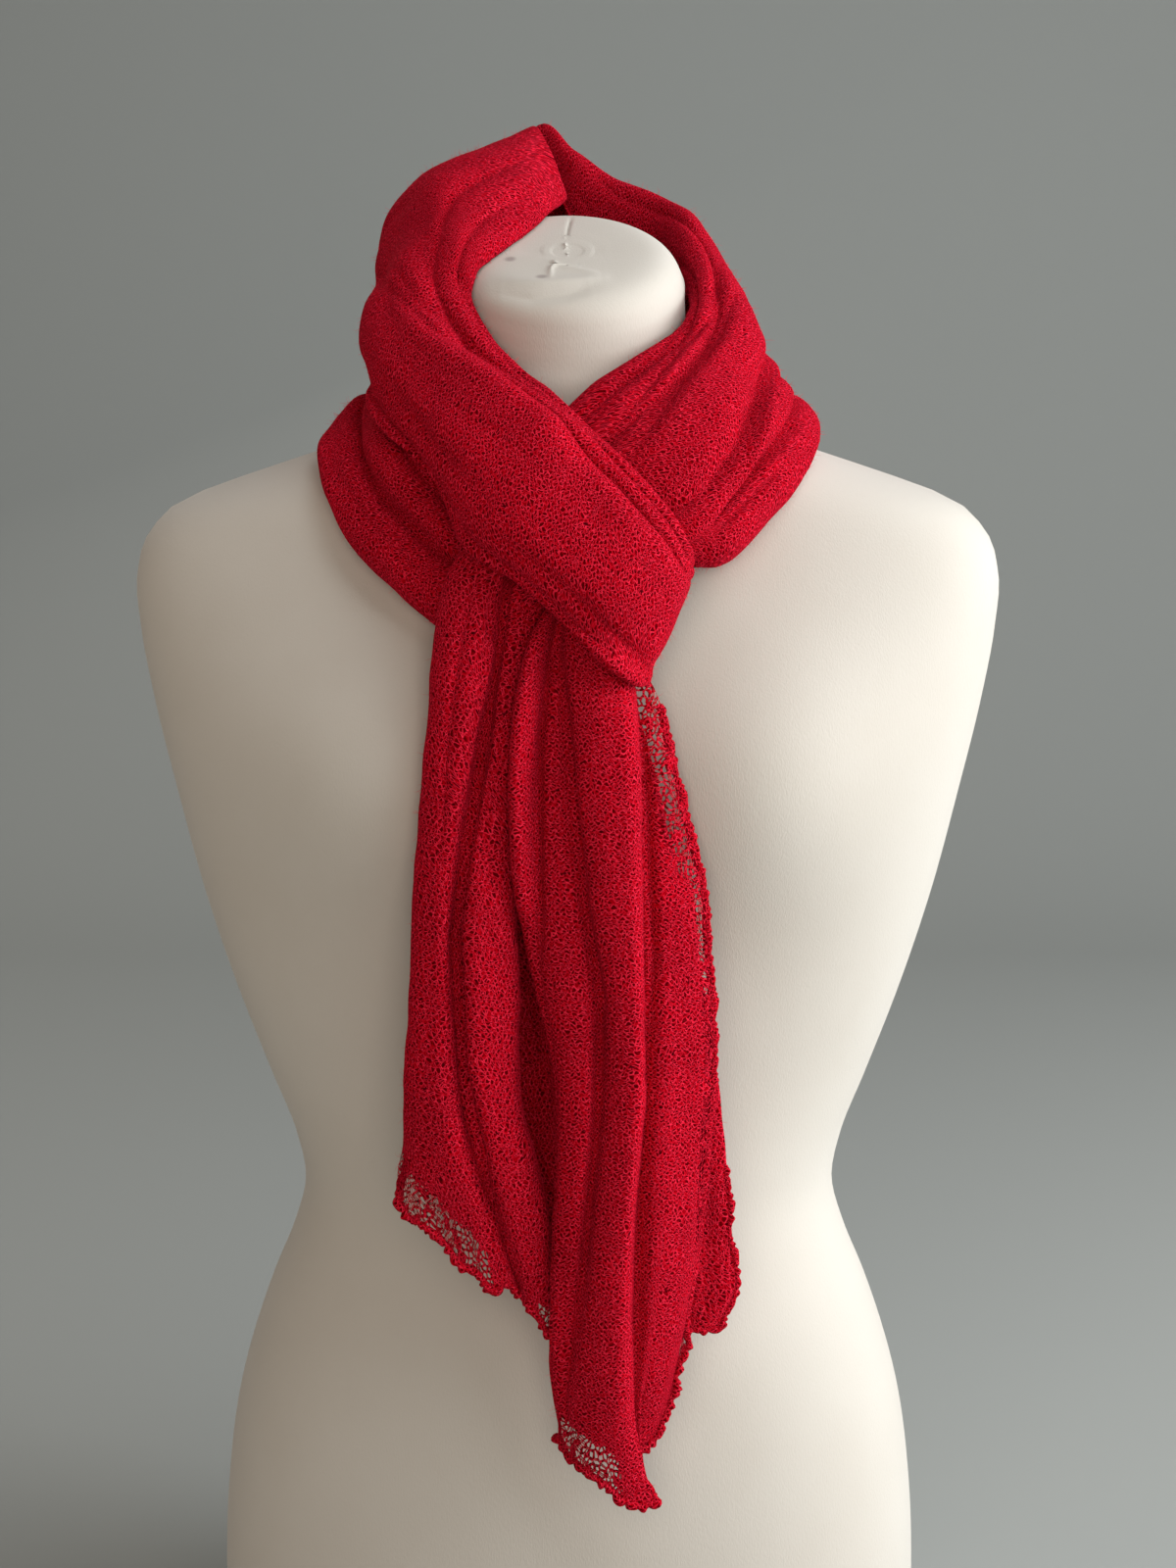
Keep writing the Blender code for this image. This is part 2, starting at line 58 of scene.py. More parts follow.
WALL = 0.0012  # thickness of the fine knit with its loops
CLEAR = 0.0012  # from the middle of a stretch's wall to the face of what it lies on
CELL = 0.0012  # size of the cloth's grid cells
LOOK_FROM = 0.05  # how far outside itself a stretch looks for what it lies on
PUSH_SPREAD = 0.007  # how widely a push spreads
ARCH_SQUARENESS = 2.5  # 2 is an ellipse, higher is flatter on top
CREASE_SHARPNESS = 3.0  # how flat a fold is on top, 2 being round
MOST_SLOPE = 0.38  # the most that a fold is raised, as a share of its width
FOLD_SHOULDER = 0.75  # the lower, the more steeply a fold's sides rise from the crease
FREE_EDGE_FALL = 1.8  # how late a section falls to its free edge
CREASE_FALL = 1.6  # how steep a crease's sides are
CREASE_ENDS = (0.02, 0.98)  # the shares of its length where a crease stops growing fainter
CREASE_SHOWS = (-0.1, 0.35)  # how squarely the cloth faces its view where it starts, and is whole
PROFILE_STEPS = 160  # steps of the fine outline that a section is resampled from
TUCK = 0.003  # radius in which the long edges are rolled under
EDGE_CURL = math.radians(70)  # how far they are rolled
CURL_STEPS = 12
HEM_ONSETS = (16, 5)  # how late the hem pulls sideways, and down, on the cloth above it
EASE_SHARE = 0.08  # how evenly the sections turn along a stretch
START_SHARE = 0.36  # the start of loop_over that upper_turn is laid over
ENDS_MEET = 0.4  # the share of their lengths in which each of those two lies over the other
CALM = 3  # how many cells the directions that creases are pressed in are averaged over
RUMPLES = ((0.0016, 0.045, (0, 0, 0)), (0.0006, 0.014, (9, 3, 5)))  # height, size, shift
LACE_FADE = 0.06  # the share of an edge in which its lace begins and ends
LACE_OPEN = 0.75  # the share of its reach in which it is fully open
TO_MM = 1000.0  # the knit's pattern is worked out in millimetres

Grid = np.ndarray
Piece = bpy.types.Object
Material = bpy.types.Material
Socket = bpy.types.NodeSocket
Colour = tuple[float, float, float]
Table = tuple[tuple[float, ...], ...]


# ---------------------------------------------------------------- numbers along curves
def cubic_rows(rows: Table | Grid, steps: int) -> Grid:
    """Rows of a table read at even steps along a smooth curve through them.

    Args:
        rows: The table, one row for each section.
        steps: How many rows to read.

    Returns:
        One row of numbers for each step.
    """
    table = np.array(rows, float)
    padded = np.vstack([2 * table[0] - table[1], table, 2 * table[-1] - table[-2]])
    at = np.linspace(0, len(table) - 1, steps)
    first = np.minimum(at.astype(int), len(table) - 2)
    u = (at - first)[:, None]
    a, b, c, d = (padded[first + k] for k in range(4))
    return 0.5 * (
        2 * b + (c - a) * u + (2 * a - 5 * b + 4 * c - d) * u**2 + (3 * b - a - 3 * c + d) * u**3
    )


def rows_by_height(rows: Table, steps: int) -> Grid:
    """Rows of the form's table read at even steps of height along a smooth curve.

    Args:
        rows: The table, with the height first in each row.
        steps: How many rows to read.

    Returns:
        One row of numbers for each step.
    """
    table = np.array(rows, float)
    height = table[:, 0]
    slope = np.gradient(table, height, axis=0)
    at = np.linspace(height[0], height[-1], steps)
    first = np.clip(np.searchsorted(height, at, side="right") - 1, 0, len(height) - 2)
    span = (height[first + 1] - height[first])[:, None]
    u = (at - height[first])[:, None] / span
    return (
        (2 * u**3 - 3 * u**2 + 1) * table[first]
        + (u**3 - 2 * u**2 + u) * span * slope[first]
        + (3 * u**2 - 2 * u**3) * table[first + 1]
        + (u**3 - u**2) * span * slope[first + 1]
    )


def unit(vectors: Grid) -> Grid:
    """Each vector at length one."""
    return vectors / np.maximum(np.linalg.norm(vectors, axis=-1, keepdims=True), 1e-9)


def lengths_along(points: Grid) -> Grid:
    """How far along a line each of its points lies."""
    return np.append(0, np.cumsum(np.linalg.norm(np.diff(points, axis=0), axis=1)))


def read_at(at: Grid, places: Grid | range, rows: Grid) -> Grid:
    """Rows of numbers read between the places that they are given at.

    Args:
        at: Where to read them.
        places: The place of each row.
        rows: The rows.

    Returns:
        One row of numbers for each place read.
    """
    return np.stack([np.interp(at, places, column) for column in rows.T], 1)


def power(values: Grid, exponent: float) -> Grid:
    """A power that keeps the sign."""
    return np.sign(values) * np.abs(values) ** exponent


def softened(values: Grid, reach: int, axis: int) -> Grid:
    """Values averaged over a window along one axis, with the ends held.

    Args:
        values: The values.
        reach: How many steps the window goes to each side.
        axis: The axis that it moves along.

    Returns:
        The averages, as many as there were values.
    """
    if reach < 1:
        return values
    pads = [(0, 0)] * values.ndim
    pads[axis] = (reach + 1, reach)
    total = np.cumsum(np.pad(values, pads, mode="edge"), axis=axis)
    ahead = np.take(total, range(2 * reach + 1, total.shape[axis]), axis=axis)
    behind = np.take(total, range(0, values.shape[axis]), axis=axis)
    return (ahead - behind) / (2 * reach + 1)


def widened(values: Grid, reach: int, axis: int) -> Grid:
    """The largest value within a window along one axis."""
    pads = [(0, 0)] * values.ndim
    pads[axis] = (reach, reach)
    wide = np.pad(values, pads, mode="edge")
    size = values.shape[axis]
    return np.max([np.take(wide, range(k, k + size), axis=axis) for k in range(2 * reach + 1)], 0)


def eased(vectors: Grid, share: float) -> Grid:
    """Directions that turn more evenly from one row to the next, at length one."""
    reach = max(1, round(len(vectors) * share / 2))
    for _ in range(2):
        vectors = unit(softened(unit(vectors), reach, 0))
    return vectors


def smooth_steps(values: Grid, low: float, high: float) -> Grid:
    """A soft step from 0 at low to 1 at high."""
    t = np.clip((values - low) / (high - low), 0, 1)
    return t * t * (3 - 2 * t)


# ---------------------------------------------------------------- cloth
CAMERA_AT = (0.009, -1.280, 0.662)
CAMERA_DOWN = math.radians(10)
LENS = 65.0
SENSOR = 36.0  # its longer side, in millimetres as the lens
PHOTO_SIZE = (1200, 1600)
FOCAL_PIXELS = LENS / SENSOR * PHOTO_SIZE[1]
PIXEL = 0.00042  # what a pixel of the photograph spans on the cloth


def photo_places(points: Grid) -> Grid:
    """Where points show in the photograph, in its pixels."""
    away = points - np.array(CAMERA_AT)
    sine, cosine = math.sin(CAMERA_DOWN), math.cos(CAMERA_DOWN)
    depth = cosine * away[..., 1] - sine * away[..., 2]
    rise = cosine * away[..., 2] + sine * away[..., 1]
    across = PHOTO_SIZE[0] / 2 + FOCAL_PIXELS * away[..., 0] / depth
    return np.stack([across, PHOTO_SIZE[1] / 2 - FOCAL_PIXELS * rise / depth], -1)


class View(Enum):
    """The side that a crease's line is drawn on, and the way that side faces.

    A line on PHOTO is in pixels of the photograph, and on the other sides in millimetres.
    """

    PHOTO = (0.0, -1.0, 0.0)
    BACK = (0.0, 1.0, 0.0)
    LEFT = (-1.0, 0.0, 0.0)
    RIGHT = (1.0, 0.0, 0.0)

    def flat(self, points: Grid) -> Grid:
        """The points as they show on this side, in metres sideways and up or down."""
        if self is View.PHOTO:
            return photo_places(points) * PIXEL
        sideways = points[..., 0 if self is View.BACK else 1]
        return np.stack([sideways, points[..., 2]], -1)

    def line(self, corners: Table) -> Grid:
        """A line's corners in the same metres."""
        return np.array(corners, float) * (PIXEL if self is View.PHOTO else MM)


class Stitch(Enum):
    """How the rows of loops lie: all alike, or every other one turned, with gaps between."""

    WAVY = 0.0
    LADDER = 1.0


@dataclass(frozen=True)
class Fold:
    """One fold of a stretch, from its own crease to the next fold's.

    Args:
        creases: Shares of the width at which it begins, at even steps along the stretch.
        heights: Its height in millimetres, at even steps along the stretch.
        peak: Where its ridge lies between its two creases.
        sharpness: How flat it is on top, 2 being round.
    """

    creases: tuple[float, ...]
    heights: tuple[float, ...]
    peak: float = 0.5
    sharpness: float = CREASE_SHARPNESS


@dataclass(frozen=True)
class Crease:
    """A trough, or a ridge if its depth is negative, along a line seen from one side.

    Args:
        line: Its points, sideways and up, in pixels of the photograph or in millimetres.
        depth: How deep it is in the middle of its length, in millimetres.
        width: How far its sides reach, in millimetres.
        view: The side that the line is drawn on.
    """

    line: Table
    depth: float
    width: float
    view: View = View.PHOTO

    def pressed(self, points: Grid, normals: Grid) -> Grid:
        """How far each point of a grid is pressed in.

        Args:
            points: The grid's points.
            normals: The outward direction at each of them.

        Returns:
            The depth at each point, in metres.
        """
        flat = self.view.flat(points)
        corners = self.view.line(self.line)
        runs = np.linalg.norm(np.diff(corners, axis=0), axis=1)
        starts = np.append(0, np.cumsum(runs))
        nearest = np.full(flat.shape[:2], np.inf)
        place = np.zeros(flat.shape[:2])
        for k, run in enumerate(runs):
            way = (corners[k + 1] - corners[k]) / run
            along = np.clip((flat - corners[k]) @ way, 0, run)
            apart = np.linalg.norm(flat - corners[k] - along[..., None] * way, axis=-1)
            closer = apart < nearest
            nearest = np.where(closer, apart, nearest)
            place = np.where(closer, (starts[k] + along) / starts[-1], place)
        ends = np.sqrt(np.sin(math.pi * np.clip(place, *CREASE_ENDS)))
        towards = smooth_steps(normals @ np.array(self.view.value), *CREASE_SHOWS)
        fall = np.exp(-((nearest / (self.width * MM)) ** CREASE_FALL))
        return self.depth * MM * fall * ends * towards


@dataclass
class Stretch:
    """One stretch of the shawl's cloth, from its sections to a finished sheet.

    Args:
        name: Its name, which is also its CAD node's.
        sections: Inner edge, crest and outer edge of each section in millimetres.
        folds: Its folds, from the inner edge to the outer one.
        creases: Its smaller creases.
        hem: The hem's outline: share of the width, and its place sideways and up in millimetres.
        cut: Width and length of the cloth it was folded from, in metres; not used.
        area: Its flat area in square metres.
        held: How the cloth is held; not used.
        rests_on: What it lies on.
        lace: Free edges that are worked open, as (edge, from, to, reach in millimetres).
        borders: The knitted borders of its free edges.
        stitch: How its rows of loops lie.
        free_edge: Whether its outer long edge hangs free and flat, not rolled under.
        step: Size of its grid cells in metres.
        fineness: How many more cells it has across than its width alone would give.
    """

    name: str
    sections: Table
    folds: tuple[Fold, ...]
    creases: tuple[Crease, ...]
    cut: tuple[float, float]
    area: float
    held: str
    rests_on: tuple[str, ...]
    hem: Table = ()
    lace: tuple[tuple[str, float, float, float], ...] = ()
    borders: tuple["Border", ...] = ()
    stitch: Stitch = Stitch.WAVY
    free_edge: bool = False
    step: float = CELL
    fineness: float = 1.35
    points: Grid = field(init=False)
    out: Grid = field(init=False)

    def __post_init__(self) -> None:
        """Works out the grid of points before it is laid on anything."""
        table = cubic_rows(self.sections, 9) * MM
        middles, widths = table[:, 3:6], np.linalg.norm(table[:, 6:9] - table[:, 0:3], axis=1)
        length = np.linalg.norm(np.diff(middles, axis=0), axis=1).sum()
        rows = round(length / self.step)
        columns = round(self.fineness * widths.max() / self.step)
        self._lay_out(rows, columns)

    def _lay_out(self, rows: int, columns: int) -> None:
        """Places the grid on the sections, with the folds and the hem."""
        table = cubic_rows(self.sections, rows) * MM
        inner, crest, outer = table[:, 0:3], table[:, 3:6], table[:, 6:9]
        middle = (inner + outer) / 2
        across = unit(outer - inner)
        lift = crest - middle
        lean = (lift * across).sum(1)
        self.out = eased(lift - lean[:, None] * across, EASE_SHARE)
        rise = (lift * self.out).sum(1)
        half = np.linalg.norm(outer - inner, axis=1) / 2
        shares = np.linspace(0, 1, columns)
        edges, heights = self._fold_rows(rows)
        grid = []
        for i in range(rows):
            flat = self._section(half[i], lean[i], rise[i], shares, edges[i], heights[i])
            grid.append(middle[i] + flat[:, :1] * across[i] + flat[:, 1:] * self.out[i])
        self.points = np.array(grid)
        if self.hem:
            share, *outline = np.transpose(self.hem)
            for axis, place, onset in zip((0, 2), outline, HEM_ONSETS):
                pull = (np.linspace(0, 1, rows) ** onset)[:, None]
                target = np.interp(shares, share, place) * MM
                self.points[..., axis] += pull * (target - self.points[-1, :, axis])

    def _fold_rows(self, rows: int) -> tuple[Grid, Grid]:
        """Where the folds begin and how high they are at each row."""
        starts = cubic_rows(np.transpose([fold.creases for fold in self.folds]), rows)
        heights = cubic_rows(np.transpose([fold.heights for fold in self.folds]), rows)
        return np.hstack([starts, np.ones((rows, 1))]), heights

    def _section(
        self, half: float, lean: float, rise: float, shares: Grid, edges: Grid, heights: Grid
    ) -> Grid:
        """Points of one section across and outwards, folded and with its edges tucked under."""
        turn = np.linspace(0, math.pi, PROFILE_STEPS)
        exponent = 2 / ARCH_SQUARENESS
        side, up = power(np.cos(turn), exponent), power(np.sin(turn), exponent)
        if self.free_edge:
            beyond = turn > math.pi / 2
            reach = np.clip(turn / (math.pi / 2) - 1, 0, 1)
            side, up = np.where(beyond, -reach, side), np.where(beyond, 1 - reach**FREE_EDGE_FALL, up)
        arch = np.stack([-half * side + lean * up, rise * up], 1)
        curl = np.linspace(EDGE_CURL, 0, CURL_STEPS, endpoint=False)
        ends = [
            np.stack([way * (half - TUCK * (1 - np.cos(curl))), -TUCK * np.sin(curl)], 1)
            for way in (-1, 1)
        ]
        outline = np.vstack([ends[0], arch] + ([] if self.free_edge else [ends[1][::-1]]))
        length = lengths_along(outline)
        run = unit(np.gradient(outline, axis=0))
        normal = softened(np.stack([-run[:, 1], run[:, 0]], 1), 3, 0)
        share = length / length[-1]
        relief = np.zeros_like(share)
        for fold, start, end, height in zip(self.folds, edges, edges[1:], heights):
            where = (share - start) / max(end - start, 1e-6)
            way = np.interp(where, (0, fold.peak, 1), (-1, 0, 1))
            inside = (where > 0) & (where < 1)
            top = min(height * MM, MOST_SLOPE * (end - start) * length[-1])
            relief[inside] = top * (1 - np.abs(way[inside]) ** fold.sharpness) ** FOLD_SHOULDER
        raised = outline + normal * relief[:, None]
        return read_at(shares, share, raised)

    def normals(self) -> Grid:
        """The outward direction of the cloth at each point of the grid."""
        down = np.gradient(self.points, axis=0)
        side = np.gradient(self.points, axis=1)
        normal = unit(np.cross(side, down))
        facing = np.sign((normal * self.out[:, None, :]).sum(-1).mean())
        return normal * facing

    def rumple(self) -> None:
        """Presses the creases in and gives the cloth the unevenness of hand-laid folds."""
        normals = self.normals()
        for _ in range(2):
            normals = unit(softened(softened(normals, CALM, 0), CALM, 1))
        press = np.zeros(self.points.shape[:2])
        for crease in self.creases:
            press += crease.pressed(self.points, normals)
        for i, j in np.ndindex(press.shape):
            place = Vector(self.points[i, j])
            for height, size, shift in RUMPLES:
                press[i, j] -= height * noise.noise(place / size + Vector(shift))
        self.points = self.points - press[..., None] * normals

    def lay(self, below: list[Piece], rows: tuple[float, float] = (0.0, 1.0)) -> None:
        """Moves the cloth out wherever it would lie in the pieces below it.

        Args:
            below: The pieces that it lies on.
            rows: The shares of its length between which it looks for them.
        """
        trees = [tree_of(piece) for piece in below]
        push = np.zeros(self.points.shape[:2])
        first, last = (round(share * (len(self.points) - 1)) for share in rows)
        for i in range(first, last + 1):
            way = Vector(self.out[i])
            for j, point in enumerate(self.points[i]):
                start = Vector(point) + LOOK_FROM * way
                for tree in trees:
                    hit = tree.ray_cast(start, -way, LOOK_FROM + CLEAR)
                    if hit[0] is not None:
                        push[i, j] = max(push[i, j], LOOK_FROM + CLEAR - hit[3])
        self.points = self.points + self._spread(push)[..., None] * self.out[:, None, :]

    def _spread(self, push: Grid) -> Grid:
        """A push that rises and falls softly round the places that need it."""
        reach = max(1, round(PUSH_SPREAD / self.step / 2))
        for axis in (0, 1):
            push = widened(push, 2 * reach, axis)
            push = softened(softened(push, reach, axis), reach, axis)
        return push

    def flat_places(self) -> tuple[Grid, Grid]:
        """Where each point lies on the flat cloth, in metres across and along it."""
        side = np.linalg.norm(np.diff(self.points, axis=1), axis=2)
        down = np.linalg.norm(np.diff(self.points, axis=0), axis=2)
        u = np.pad(np.cumsum(side, axis=1), ((0, 0), (1, 0)))
        v = np.pad(np.cumsum(down, axis=0), ((1, 0), (0, 0)))
        middle, centre = len(u) // 2, u.shape[1] // 2
        return u - u[:, centre : centre + 1], softened(v - v[middle : middle + 1], 4, 1)

    def openness(self) -> Grid:
        """How openly the knit is worked at each point, from 0 to 1."""
        u, v = self.flat_places()
        rows, columns = u.shape
        reach = {
            "left": np.abs(u - u[:, :1]),
            "right": np.abs(u - u[:, -1:]),
            "hem": np.abs(v - v[-1:]),
        }
        down = np.linspace(0, 1, rows)[:, None]
        along = {"left": down, "right": down, "hem": np.linspace(0, 1, columns)[None, :]}
        open_work = np.zeros_like(u)
        for edge, start, end, width in self.lace:
            near = 1 - smooth_steps(reach[edge], LACE_OPEN * width * MM, width * MM)
            begun = smooth_steps(along[edge], start - LACE_FADE, start + LACE_FADE)
            ended = smooth_steps(along[edge], end - LACE_FADE, end + LACE_FADE)
            open_work = np.maximum(open_work, near * (begun * (1 - ended)))
        return open_work

    def sheet(self, material: Material) -> Piece:
        """The stretch as a thin sheet with its flat places and its lace as maps.

        Args:
            material: The knit.

        Returns:
            The finished object.
        """
        piece = grid_object(self.name + "_cloth", self.points, self.flat_places(), self.openness())
        piece.data.materials.append(material)
        give_wall(piece)
        return piece


def new_mesh(name: str, shape: bmesh.types.BMesh) -> bpy.types.Mesh:
    """A smooth mesh of a finished shape, which is then let go."""
    mesh = bpy.data.meshes.new(name)
    shape.to_mesh(mesh)
    shape.free()
    mesh.shade_smooth()
    return mesh


def new_piece(name: str, data: bpy.types.ID) -> Piece:
    """An object that holds a mesh, a lamp or a camera, linked into the scene."""
    piece = bpy.data.objects.new(name, data)
    bpy.context.scene.collection.objects.link(piece)
    return piece


def give_wall(piece: Piece) -> None:
    """Gives a sheet the knit's thickness, half of it to each side."""
    thick = piece.modifiers.new("wall", "SOLIDIFY")
    thick.thickness = WALL
    thick.offset = 0
    bpy.context.view_layer.update()


def grid_object(name: str, points: Grid, flat: tuple[Grid, Grid], lace: Grid) -> Piece:
    """A smooth grid moved to the given points.

    Args:
        name: The object's name.
        points: The place of each vertex.
        flat: Its place on the flat cloth, across and along.
        lace: How open the knit is there.

    Returns:
        The object, linked into the scene.
    """
    rows, columns = points.shape[:2]
    shape = bmesh.new()
    bmesh.ops.create_grid(shape, x_segments=columns - 1, y_segments=rows - 1, size=1)
    cloth_map = shape.loops.layers.uv.new("cloth")
    lace_map = shape.verts.layers.float.new("lace")
    place = {}
    for vertex in shape.verts:
        j = round((vertex.co.x + 1) / 2 * (columns - 1))
        i = round((vertex.co.y + 1) / 2 * (rows - 1))
        place[vertex.index] = (flat[0][i, j], flat[1][i, j])
        vertex[lace_map] = lace[i, j]
        vertex.co = points[i, j]
    for face in shape.faces:
        for loop in face.loops:
            loop[cloth_map].uv = place[loop.vert.index]
    return new_piece(name, new_mesh(name, shape))


def tree_of(piece: Piece) -> BVHTree:
    """A search tree of a piece as its modifiers leave it."""
    return BVHTree.FromObject(piece, bpy.context.evaluated_depsgraph_get())


@dataclass(frozen=True)
class Border:
    """A rolled border of small knitted loops along the free edges of a stretch.

    Args:
        name: Its name.
        runs: The edges that it follows, as (edge, from, to) in shares of the edge.
        radius: Half its thickness in millimetres.
        picot: How far its loops stand out, in millimetres.
        pitch: How far apart they are, in millimetres.
        scallop: How far the whole edge wanders, in millimetres.
        sides: Points round it.
        step: How far apart its sections are, in millimetres.
        waves: How long its unevenness and its wandering are, in millimetres.
        swell: The shares of its thickness that stay, and that follow its loops and those two.
        lean: How far its loops stand in from the edge, and how unevenly, as shares of picot.
        readings: Points at which each edge is read.
    """

    name: str
    runs: tuple[tuple[str, float, float], ...]
    radius: float = 1.9
    picot: float = 1.1
    pitch: float = 5.6
    scallop: float = 4.0
    sides: int = 8
    step: float = 0.75
    waves: tuple[float, float] = (7.0, 23.0)
    swell: tuple[float, float, float, float] = (0.72, 0.4, 0.45, 0.3)
    lean: tuple[float, float] = (0.35, 1.2)
    readings: int = 400

    def _path(self, stretch: Stretch) -> tuple[Grid, Grid]:
        """The border's middle line and the cloth's outward direction along it."""
        normals = stretch.normals()
        places, outs = [], []
        for edge, start, end in self.runs:
            line = stretch.points[-1] if edge == "hem" else stretch.points[:, -1]
            out = normals[-1] if edge == "hem" else normals[:, -1]
            at = np.linspace(start, end, self.readings) * (len(line) - 1)
            places.append(read_at(at, range(len(line)), line))
            outs.append(read_at(at, range(len(line)), out))
        place, out = np.vstack(places), np.vstack(outs)
        length = lengths_along(place)
        at = np.arange(0, length[-1], self.step * MM)
        place, out = read_at(at, length, place), read_at(at, length, out)
        return softened(place, 2, 0), unit(softened(out, 4, 0))

    def build(self, stretch: Stretch, material: Material) -> Piece:
        """The border as a soft tube whose loops stand out from the edge.

        Args:
            stretch: The stretch that it edges.
            material: The knit.

        Returns:
            The finished object.
        """
        place, out = self._path(stretch)
        run = unit(softened(np.gradient(place, axis=0), 2, 0))
        side = unit(np.cross(out, run))
        inside = stretch.points.reshape(-1, 3).mean(0)
        side *= np.sign(((place - inside) * side).sum(1).mean())
        along = np.arange(len(place)) * self.step
        uneven, wander = (
            np.array([noise.noise(Vector((d / wave, 3.0, 1.0))) for d in along])
            for wave in self.waves
        )
        loops = np.abs(np.sin(math.pi * (along / self.pitch + 1.3 * uneven)))
        least, looped, rough, slow = self.swell
        radius = self.radius * MM * (least + looped * loops + rough * uneven + slow * wander)
        stand = self.picot * (loops - self.lean[0] + self.lean[1] * uneven)
        stand += self.scallop * wander
        middle = place + side * (stand * MM)[:, None]
        turn = np.linspace(0, 2 * math.pi, self.sides + 1)
        ring = side[:, None] * np.cos(turn)[:, None] + out[:, None] * np.sin(turn)[:, None]
        points = middle[:, None] + ring * radius[:, None, None]
        flat = (
            np.broadcast_to(turn * self.radius * MM, points.shape[:2]),
            np.broadcast_to((along * MM)[:, None], points.shape[:2]),
        )
        piece = grid_object(self.name, points, flat, np.zeros(points.shape[:2]))
        shape = bmesh.new()
        shape.from_mesh(piece.data)
        bmesh.ops.remove_doubles(shape, verts=shape.verts, dist=1e-6)
        bmesh.ops.holes_fill(shape, edges=shape.edges, sides=0)
        bmesh.ops.recalc_face_normals(shape, faces=shape.faces)
        shape.to_mesh(piece.data)
        shape.free()
        piece.data.materials.append(material)
        return piece


@dataclass(frozen=True)
class Halo:
    """The light halo of fine hairs that stands off the alpaca.

    Args:
        per_area: Hairs in each square metre of cloth.
        length: Shortest and longest hair, in millimetres.
        radius: Half a hair's thickness at its root, in millimetres.
        lift: The least and the most that it stands up, against a random way of length one.
        least_lift: The least share of its way that stands up from the cloth.
        curl: How far its outer half turns away.
        rise: How far its outer half lifts.
        taper: Its thickness half way, as a share of that at its root.
        root: How far out in the wall it begins, as a share of the wall's thickness.
    """

    per_area: float = 42000
    length: tuple[float, float] = (1.8, 5.0)
    radius: float = 0.07
    lift: tuple[float, float] = (0.15, 0.9)
    least_lift: float = 0.25
    curl: float = 0.6
    rise: float = 0.2
    taper: float = 0.7
    root: float = 0.4

    def build(self, stretch: Stretch, material: Material) -> Piece:
        """Hairs all over the outer face of a stretch, joined in one mesh.

        Args:
            stretch: The stretch that they grow on.
            material: Their finish.

        Returns:
            The finished object.
        """
        rng = np.random.default_rng(SEED)
        normals = stretch.normals()
        rows, columns = stretch.points.shape[:2]
        count = round(self.per_area * stretch.area)
        i, j = rng.integers(1, rows - 1, count), rng.integers(0, columns, count)
        root, normal = stretch.points[i, j], normals[i, j]
        stray = unit(rng.normal(size=(count, 3)))
        way = unit(normal * rng.uniform(*self.lift, (count, 1)) + stray)
        short = np.maximum(0, self.least_lift - (way * normal).sum(1))
        way = unit(way + normal * short[:, None])
        bend = unit(rng.normal(size=(count, 3))) * self.curl
        length = rng.uniform(*self.length, (count, 1)) * MM
        first = root + normal * WALL * self.root
        middle = first + way * length / 2
        tip = middle + unit(way + bend + self.rise * normal) * length / 2
        side = unit(np.cross(way, rng.normal(size=(count, 3))))
        other = np.cross(way, side)
        turns = np.arange(3) * 2 * math.pi / 3
        ring = side[:, None] * np.cos(turns)[:, None] + other[:, None] * np.sin(turns)[:, None]
        ring = ring * self.radius * MM
        thin = self.taper * ring
        points = np.hstack([first[:, None] + ring, middle[:, None] + thin, tip[:, None]])
        faces = [(k, (k + 1) % 3, (k + 1) % 3 + 3, k + 3) for k in range(3)]
        faces += [(k + 3, (k + 1) % 3 + 3, 6) for k in range(3)] + [(2, 1, 0)]
        mesh = bpy.data.meshes.new(stretch.name + "_halo")
        starts = np.arange(count) * 7
        mesh.from_pydata(
            points.reshape(-1, 3).tolist(),
            [],
            [tuple(int(start) + k for k in face) for start in starts for face in faces],
        )
        mesh.materials.append(material)
        return new_piece(mesh.name, mesh)


